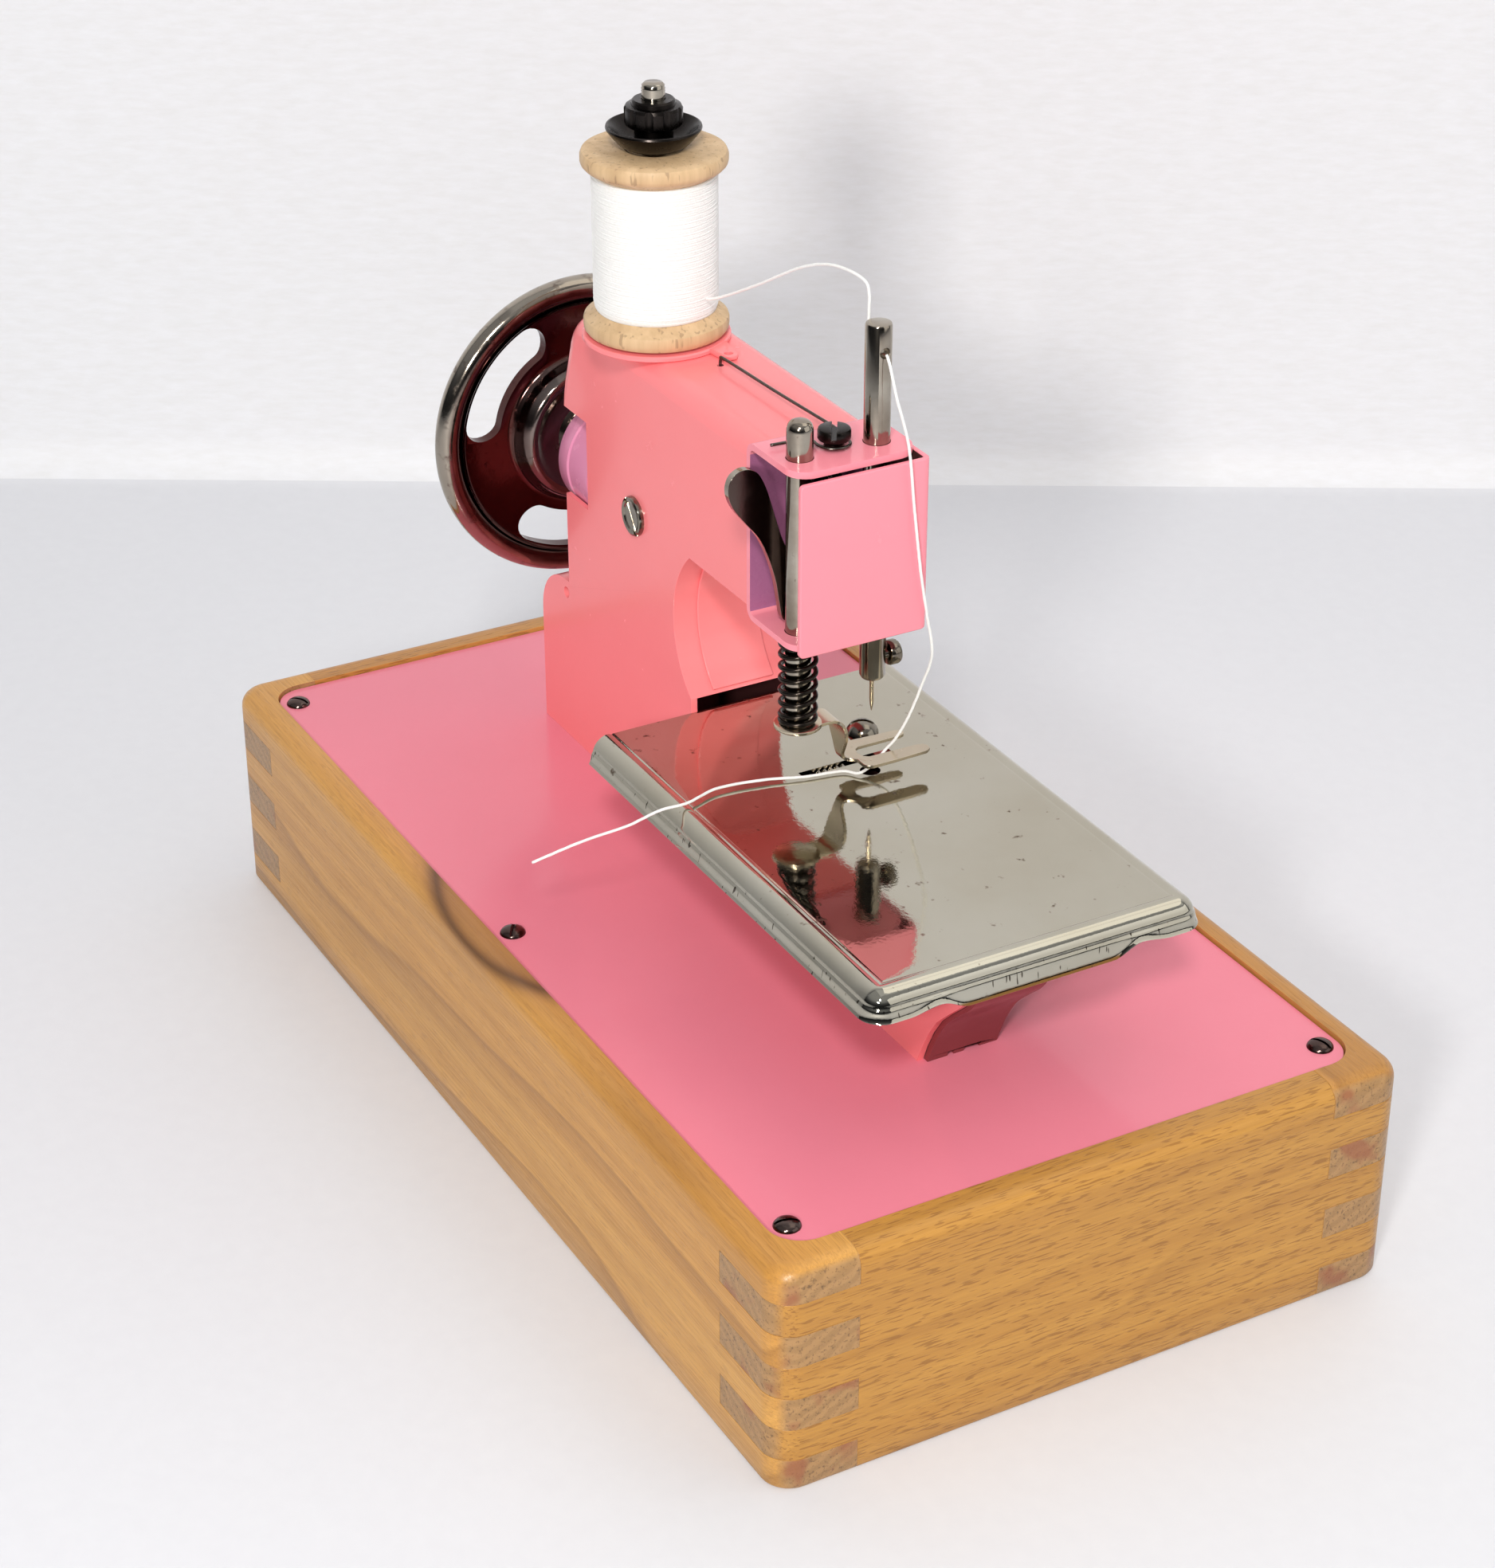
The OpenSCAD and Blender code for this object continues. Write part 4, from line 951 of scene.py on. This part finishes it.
done(bevel(cs, 0.08, 2), SCREWM, "needle_unit", "dark_nickel", "clamp_screw")

# ------------------------------------------------------------------ presser
pb = lathe("v_presser_bar", [(0, 140.2), (1.05, 140.15), (1.6, 139.9), (2.0, 139.45), (2.22, 138.7), (2.25, 138.2), (2.25, 84.9), (0, 84.9)], (-25.4, 8.3, 0), "z", 64)
boolean(pb, cyl("c", "x", 8.3, 110.9, -29, -21, 0.96, 32))
done(pb, STEEL, "presser", "steel", "presser_bar")
done(cyl("v_lifter_pin", "x", 8.3, 110.9, -26.9, -20.9, 0.94, 32), DARKN, "presser", "dark_nickel", "lifter_pin")

sp, N = [], 8 * 40
for i in range(N + 1):
    t = i / N
    turn = t * 8
    z = 85.3 + 15.2 * (0.055 * turn if turn < 1 else (0.945 + 0.055 * (turn - 7) if turn > 7 else 0.055 + 0.89 * (turn - 1) / 6))
    sp.append((-25.4 + 3 * cos(2 * pi * turn), 8.3 + 3 * sin(2 * pi * turn), z))
done(sweep("v_spring", sp, 0.45, 14), SPRINGM, "presser", "black_steel", "presser_spring")


def foot():
    parts = [lathe("d", [(0, 84.88), (3.9, 84.88), (4.15, 84.7), (4.2, 84.45), (4.15, 84.2), (3.9, 84.02), (0, 84.02)], (-25.4, 8.3, 0), "z", 64)]
    path = [(5.6, 84.4, 2.6), (3.2, 84.42, 2.6), (1.9, 84.1, 2.7), (1.0, 83.3, 3.0), (0.45, 81.9, 3.1), (0.15, 80.2, 2.7), (0.05, 78.4, 1.9), (0.0, 76.9, 1.25), (-0.35, 75.95, 1.1), (-1.2, 75.5, 1.5), (-2.4, 75.5, 2.6), (-3.4, 75.5, 4.0)]
    pp = catmull([(p[2], p[0], p[1]) for p in path], 4)
    v, f = [], []
    m = 6
    for i, p in enumerate(pp):
        a, b = pp[max(0, i - 1)], pp[min(len(pp) - 1, i + 1)]
        t = Vector((b[1] - a[1], b[2] - a[2])).normalized()
        nn = Vector((-t[1], t[0]))
        for k in range(m + 1):
            u = -1 + 2 * k / m
            for s in (0.32, -0.32):
                v.append((-25.4 + u * p[0], p[1] + nn[0] * s, p[2] + nn[1] * s))
    c = 2 * (m + 1)
    for i in range(len(pp) - 1):
        for k in range(m):
            a = i * c + 2 * k
            f.append([a, a + 2, a + c + 2, a + c])
            f.append([a + 1, a + 3, a + c + 3, a + c + 1])
        f.append([i * c, i * c + 1, (i + 1) * c + 1, (i + 1) * c])
        f.append([i * c + 2 * m, i * c + 2 * m + 1, (i + 1) * c + 2 * m + 1, (i + 1) * c + 2 * m])
    for i in (0, len(pp) - 1):
        for k in range(m):
            a = i * c + 2 * k
            f.append([a, a + 2, a + 3, a + 1])
    parts.append(obj("n", v, f, 40))
    fork = prism("fk", [(-29.9, -2.2), (-21.7, -2.2), (-21.1, -4), (-21.5, -9), (-21.7, -13.2), (-22.2, -14.1), (-23.0, -14.4), (-23.6, -14.0), (-23.9, -13.2), (-23.9, -4.6), (-24.4, -3.8), (-25.8, -3.4), (-27.2, -3.8), (-27.8, -4.6), (-28.0, -13.6),
                        (-28.3, -15.0), (-29.2, -15.6), (-30.2, -15.3), (-30.8, -14.4), (-31.0, -8), (-31.0, -3.6), (-30.7, -2.6)], "z", 75.15, 75.8)
    parts.append(fork)
    return join("v_foot", parts, 40)


ft = foot()
bevel(ft, 0.12, 2, 50)
done(ft, BRASSY, "presser", "steel", "presser_foot")

LEV = [(9.2, 103.0), (10.0, 103.8), (10.6, 107), (11.3, 111), (12.7, 115.5), (14.5, 119.4), (17, 122.6), (19.3, 125.8), (20.2, 128.8), (19.4, 131.2), (17.3, 132.2), (14.9, 131.3), (13.2, 128.4), (11.7, 123.7), (9.9, 118), (7.7, 113.6), (6.4, 110.6), (6.9, 106.6), (7.3, 103.8), (8.1, 102.9)]


def lever():
    cl = [Vector((p[0], p[1], 0)) for p in LEV]
    out = []
    n = len(cl)
    for i in range(n):
        a, b, c, d = cl[i - 1], cl[i], cl[(i + 1) % n], cl[(i + 2) % n]
        for k in range(5):
            t = k / 5
            q = 0.5 * ((2 * b) + (c - a) * t + (2 * a - 5 * b + 4 * c - d) * t * t + (3 * b - a - 3 * c + d) * t ** 3)
            out.append((q.x, q.y))
    o = prism("v_lifter", out, "x", -22.9, -21.5)
    boolean(o, cyl("c", "x", 8.3, 110.9, -24, -20, 1.0, 40))
    return o


lv = lever()
bevel(lv, 0.5, 5, 50)
done(lv, DARKN, "lifter", "dark_nickel", "lifter_lever")
# edge faces take the lighter steel as a painted highlight on the lit sheet edges; flat faces keep the dark nickel
lv.data.materials.append(STEEL)
for p in lv.data.polygons:
    if abs(p.normal.x) < 0.5:
        p.material_index = 1

# ------------------------------------------------------------------ spool
seat = lathe("v_seat", [(2.12, 132.02), (12.9, 132.02), (13.2, 132.2), (13.2, 132.75), (12.9, 133.0), (2.12, 133.0)], (36.1, 2.4, 0), "z", 96, True)
tab = prism("t", [(26, -6), (19.6, -5), (19.0, -4.4), (19.0, -2.8), (19.6, -2.2), (26, -1.2)], "z", 132.1, 132.95)
boolean(tab, cyl("c", "z", 20.6, -3.6, 130, 134, 0.75, 24))
bevel(tab, 0.15, 2)
apply_all(tab)
done(join("v_spool_seat", [seat, tab]), PINK, "machine", "pink_enamel", "spool_seat")
thr = [(2.0, 128.5 + 0.01)]
z = 128.6
while z < 177.2:
    thr += [(2.1, z), (1.93 if z > 164 else 2.09, z + 0.22)]
    z += 0.44
done(lathe("v_spool_pin", [(0, 128.5)] + thr + [(2.0, 177.6), (1.6, 178.0), (0, 178.0)], (36.1, 2.4, 0), "z", 40, sharp=0), STEEL, "machine", "steel", "spool_pin")
Z = 133.3
spool = lathe("v_spool", [(2.5, 0), (11.6, 0), (12.4, 0.25), (12.8, 0.8), (12.9, 1.4), (12.9, 2.3), (12.75, 2.75), (12.3, 3.1), (11.4, 3.6), (10.6, 4.3), (7.6, 4.3), (7.6, 29.1), (10.6, 29.1), (11.2, 29.6), (12.3, 30.2), (12.75, 30.7), (12.9, 31.2), (12.9, 32.2), (12.6, 32.9), (11.9, 33.25), (10.8, 33.3), (5.2, 33.15), (4.6, 32.6), (3.2, 32.5), (2.5, 32.3)], (36.1, 2.4, Z), "z", 128, True)
done(spool, SPOOLW, "spool", "spool_wood", "thread_spool")
prof = [(7.6, 4.35), (10.7, 4.35)]
z = 4.6
while z < 28.9:
    e = 11.04 - 0.25 * max(0, (5.4 - z)) - 0.25 * max(0, z - 28.1)
    prof += [(e - 0.10, z), (e, z + 0.13), (e, z + 0.29)]
    z += 0.42
prof += [(10.7, 29.05), (7.6, 29.05)]
wind = lathe("v_winding", prof, (36.1, 2.4, Z), "z", 96, True, sharp=0, ripple=lambda a, h: 0.03 * sin(3 * a + h * 9) + 0.02 * sin(7 * a - h * 23))
done(wind, THREADM, "spool", "white_thread", "thread_winding")
tc = lathe("v_cup", [(2.5, 0.0), (4.6, 0.0), (5.6, 0.45), (6.6, 1.2), (7.6, 2.4), (8.3, 3.3), (8.4, 3.6), (8.3, 3.9), (8.0, 4.0), (7.75, 3.8), (7.0, 2.9), (6.1, 1.9), (5.2, 1.1), (4.4, 0.7), (2.5, 0.7)], (36.1, 2.4, Z + 33.3), "z", 96, True)
done(tc, BLACK, "spool", "black_steel", "tension_cup")
nut = lathe("v_nut", [(2.15, 34.4), (3.2, 34.4), (3.4, 34.6), (3.4, 37.2), (4.7, 37.3), (5.05, 37.7), (5.1, 40.3), (4.8, 40.8), (3.9, 40.95), (3.8, 41.6), (3.5, 41.9), (2.15, 41.9)], (36.1, 2.4, Z), "z", 96, True,
            ripple=None)
boolean(nut, [cyl("c", "z", 36.1 + 5.75 * cos(a), 2.4 + 5.75 * sin(a), Z + 36.9, Z + 41.0, 1.05, 20) for a in [2 * pi * i / 10 for i in range(10)]])
bevel(nut, 0.12, 2, 40)
done(nut, BLACK, "nut", "black_steel", "tension_nut")

# ------------------------------------------------------------------ hand wheel
WX, WY, WZ = 75.6, -1.0, 99.4
wp = [(3.0, -7.6), (5.6, -7.6), (6.2, -7.3), (6.5, -6.6), (6.55, -5.6), (6.8, -5.1), (7.4, -4.9), (9.6, -4.9), (10.5, -5.05), (11.2, -5.4), (11.8, -5.55), (12.4, -5.45), (13.0, -5.05), (13.5, -4.35), (13.9, -3.5), (14.2, -2.6), (14.6, -1.8), (15.0, -1.35), (15.6, -1.15), (24.0, -1.15), (24.7, -1.4), (25.2, -1.9)] + \
     [(27.4 + 2.4 * cos(a), -2.4 * sin(a)) for a in [pi * (1 - i / 16) for i in range(3, 17)]][:0] + \
     [(27.3 + 2.5 * cos(a), 2.4 * sin(a)) for a in [math.radians(d) for d in range(-150, 151, 15)]] + \
     [(25.2, 1.9), (24.7, 1.4), (24.0, 1.15), (15.6, 1.15), (14.6, 1.3), (12.6, 2.6), (10.0, 3.7), (6.8, 4.4), (6.2, 4.6), (3.0, 4.6)]
wheel = lathe("v_wheel", wp, (WX, WY, WZ), "x", 144, True)
cuts = []
for c in (36, 156, 276):
    a0, a1 = c - 33.0, c + 33.0
    ri, ro, cr = 17.2, 24.4, 3.0
    ai, ao = math.degrees(cr / (ri + cr)), math.degrees(cr / (ro - cr))
    pts = arc(0, 0, ri, a0 + ai, a1 - ai, 20)
    pts += [((ri + cr) * cos(math.radians(a1 - ai)) + cr * cos(math.radians(a1 - ai + 180 + t)), (ri + cr) * sin(math.radians(a1 - ai)) + cr * sin(math.radians(a1 - ai + 180 + t))) for t in range(-75, -3, -12)][:0]
    pts = []
    for i in range(21):
        pts.append((ri, a0 + ai + (a1 - a0 - 2 * ai) * i / 20))
    for i in range(1, 12):
        t = i / 12 * pi
        pts.append(((ri + ro) / 2 - (ro - ri) / 2 * cos(t), a1 - ai + math.degrees(sin(t) * (ro - ri) / 2 / ((ri + ro) / 2)) * 0.9))
    for i in range(21):
        pts.append((ro, a1 - ao - (a1 - a0 - 2 * ao) * i / 20))
    for i in range(1, 12):
        t = i / 12 * pi
        pts.append(((ri + ro) / 2 + (ro - ri) / 2 * cos(t), a0 + ai - math.degrees(sin(t) * (ro - ri) / 2 / ((ri + ro) / 2)) * 0.9))
    cuts.append(prism("k", [(WY + r * cos(math.radians(a)), WZ + r * sin(math.radians(a))) for r, a in pts], "x", WX - 10, WX + 10))
boolean(wheel, cuts)
bevel(wheel, 0.55, 4, 50)
done(wheel, WHEELM, "wheel", "dark_nickel", "hand_wheel")
ws = lathe("v_wheel_screw", [(0, 83.4), (2.6, 83.3), (4.0, 82.8), (4.5, 82.0), (4.6, 81.2), (4.6, 80.25), (1.4, 80.22), (1.4, 77), (0, 77)], (0, WY, WZ), "x", 48)
boolean(ws, boxo("k", 82.3, 85, WY - 0.45, WY + 0.45, WZ - 6, WZ + 6))
done(bevel(ws, 0.1, 2), DARKN, "wheel", "dark_nickel", "wheel_screw")

# ------------------------------------------------------------------ CAD nodes kept as they are
KEEP = {"shaft_brackets": PINK_SHADED, "needle_lever": STEEL, "wheel_shaft": STEEL, "crank_disc": STEEL, "feed_shaft": STEEL, "feed_dog": STEEL, "looper": BRASSY}
for nme, m in KEEP.items():
    o = next(x for x in bpy.data.objects if x.name == nme or x.name.startswith(nme + "."))
    mat(o, m)
    for p in o.data.polygons:
        p.use_smooth = True
    bevel(o, 0.12, 2, 35)

# ------------------------------------------------------------------ thread
UP = [(25.3, -2, 141.6), (20.9, -2.6, 143.4), (9, -3.2, 149.6), (-3.2, -3.8, 156.4), (-11, -4.4, 159.6), (-17, -5, 160.6), (-21.8, -5.6, 160.2), (-22.6, -6, 158.2), (-22.3, -6.2, 155), (-22.3, -6.2, 151.6), (-22.7, -6.2, 149.6)]
LO = [(-28.1, -6.2, 149.5), (-29.4, -6.1, 148), (-31.5, -6.2, 143.2), (-33.9, -7.2, 135.6), (-34, -8.6, 123.6), (-34.1, -10.1, 111.9), (-33.9, -11.6, 104), (-33, -13.4, 95.6), (-30.6, -13, 88.6), (-28.8, -11.6, 82), (-27.4, -10, 77.6), (-26.5, -8.6, 75.4),
      (-26.7, -6, 73.4), (-26.4, -3.4, 72.1), (-24.2, -1.2, 72), (-22.9, 5.2, 72), (-20.8, 12, 72.2), (-19.6, 20.6, 72.3), (-21.6, 27.6, 72.3), (-21, 32.6, 71.9), (-17.6, 37.2, 68.4), (-13, 43.6, 64.8), (-8.8, 51, 60.6)]


def length(p):
    return sum((Vector(b) - Vector(a)).length for a, b in zip(p, p[1:])) * K


for nme, P, cad in (("v_thread_upper", UP, "thread_upper"), ("v_thread_lower", LO, "thread_lower")):
    cp = catmull(P, 16)
    o = sweep(nme, cp, 0.245, 12, 3, 0.10, 1.6)
    done(o, THREADM, "machine", "white_thread", cad)
    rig.cord(o, exit=tuple(c * K for c in P[0]), length=length(cp), diameter=0.0005, far_end="object" if cad == "thread_upper" else "bare", stiffness="limp", lay="hanging" if cad == "thread_upper" else "loose", path=[tuple(c * K for c in p) for p in P])


# ------------------------------------------------------------------ stage
def stage_obj():
    m, nt, b = material("backdrop")
    v = coords(nt)
    a = noise(nt, coords(nt, (1, 1, 4)), 160, 4, 0.6)
    c = noise(nt, v, 7, 3)
    col = mix(nt, rng(nt, a, 0.3, 0.7, 0, 1), (0.83, 0.835, 0.86), (0.79, 0.79, 0.80))
    nt.links.new(col, b.inputs["Base Color"])
    b.inputs["Roughness"].default_value = 0.75
    bump(nt, b, a, 0.1, 0.0006)
    return m


fm, fnt, fb = material("floor_pale")
fa = noise(fnt, coords(fnt), 260, 3, 0.6)
fnt.links.new(mix(fnt, rng(fnt, fa, 0.3, 0.7, 0, 1), (0.715, 0.722, 0.75), (0.700, 0.706, 0.735)), fb.inputs["Base Color"])
fb.inputs["Roughness"].default_value = 0.5
bump(fnt, fb, fa, 0.05, 0.0004)

CAM = Vector((-469.99, 263.29, 360.42))
AZ, EL, ROLL, FPX, CX, CY = 0.5192394, 0.5177076, -0.0068864, 4304.73, 994.594, 1010.015
fw = Vector((cos(EL) * cos(AZ), -cos(EL) * sin(AZ), -sin(EL)))
rt = fw.cross(Vector((0, 0, 1))).normalized()
dn = fw.cross(rt)
R2 = rt * cos(ROLL) + dn * sin(ROLL)
D2 = -rt * sin(ROLL) + dn * cos(ROLL)
flat = Vector((fw.x, fw.y, 0)).normalized()
side = Vector((flat.y, -flat.x, 0))

# floor with a soft cove into the wall, square to the view
dist = 0.792
prof = [(-3.0, 0.0)] + [(dist, 0.0)] + [(dist + 0.010 * sin(a), 0.010 - 0.010 * cos(a)) for a in [i * pi / 16 for i in range(1, 9)]] + [(dist + 0.010, 2.5)]
base = Vector((CAM.x * K, CAM.y * K, 0))
v, f = [], []
for d, zz in prof:
    for s in (-2.5, 2.5):
        p = base + flat * d + side * s
        v.append((p.x / K, p.y / K, zz / K))
for i in range(len(prof) - 1):
    f.append([2 * i, 2 * i + 1, 2 * i + 3, 2 * i + 2])
fl = obj("stage_floor", v, f, 0)
fl.data.materials.append(fm)
fl.data.materials.append(stage_obj())
for p in fl.data.polygons:
    p.material_index = 0 if p.center.z < 0.0005 else 1
nrm = fl.data.polygons[0].normal
if nrm.z < 0:
    fl.data.flip_normals()
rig.stage(fl)

w = bpy.data.worlds.new("w")
SC.world = w
w.use_nodes = True
bg = w.node_tree.nodes["Background"]
wt = w.node_tree
tc = wt.nodes.new("ShaderNodeTexCoord")
sx = wt.nodes.new("ShaderNodeSeparateXYZ")
wt.links.new(tc.outputs["Generated"], sx.inputs[0])
up = rng(wt, sx.outputs[2], 0.10, 0.75, 0.0, 1.0)
wt.links.new(ramp(wt, up, [(0.0, (0.055, 0.058, 0.066)), (0.35, (0.22, 0.23, 0.25)), (0.7, (0.85, 0.88, 0.93)), (1.0, (1.0, 1.02, 1.06))]), bg.inputs["Color"])
bg.inputs["Strength"].default_value = 0.38


def area(name, loc, target, size, power, color=(1, 1, 1), size_y=None):
    l = bpy.data.lights.new(name, "AREA")
    l.energy = power
    l.color = color
    l.shape = "RECTANGLE"
    l.size = size
    l.size_y = size_y or size
    o = bpy.data.objects.new(name, l)
    SC.collection.objects.link(o)
    o.location = loc
    o.rotation_mode = "QUATERNION"
    o.rotation_quaternion = (Vector(target) - Vector(loc)).to_track_quat("-Z", "Y")
    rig.stage(o)
    return o


area("key", (-0.88, 0.56, 0.95), (0, 0, 0.06), 0.15, 8.6, (1.0, 0.985, 0.96))
area("flash", (-0.60, 0.52, 0.44), (0, 0, 0.08), 0.09, 3.6, (1.0, 0.975, 0.95))
area("top", (0.0, -0.30, 1.25), (0, -0.05, 0), 1.5, 1.7, (0.97, 0.985, 1.0))
area("strip", (-0.14, -0.36, 0.80), (-0.06, 0, 0.07), 0.55, 0.70, (1.0, 0.95, 0.85), 0.42)
area("fill", (-0.95, -0.75, 0.50), (0, 0, 0.06), 1.1, 2.6, (1.0, 0.99, 0.97), 0.8)

cd = bpy.data.cameras.new("photo_view")
cam = bpy.data.objects.new("photo_view", cd)
SC.collection.objects.link(cam)
cam.rotation_mode = "QUATERNION"
cam.location = CAM * K
cam.rotation_quaternion = Matrix((R2, -D2, -fw)).transposed().to_quaternion()
cd.lens = 36 * FPX / 1968
cd.sensor_width = 36
cd.shift_x = (938 - CX) / 1968
cd.shift_y = (CY - 984) / 1968
cd.clip_start, cd.clip_end = 0.01, 20
SC.camera = cam
SC.view_settings.view_transform = "Standard"
SC.view_settings.look = "None"

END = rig.bounds()
json.dump({"before": [list(START[0]), list(START[1])], "after": [list(END[0]), list(END[1])]}, open("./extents.json", "w"))
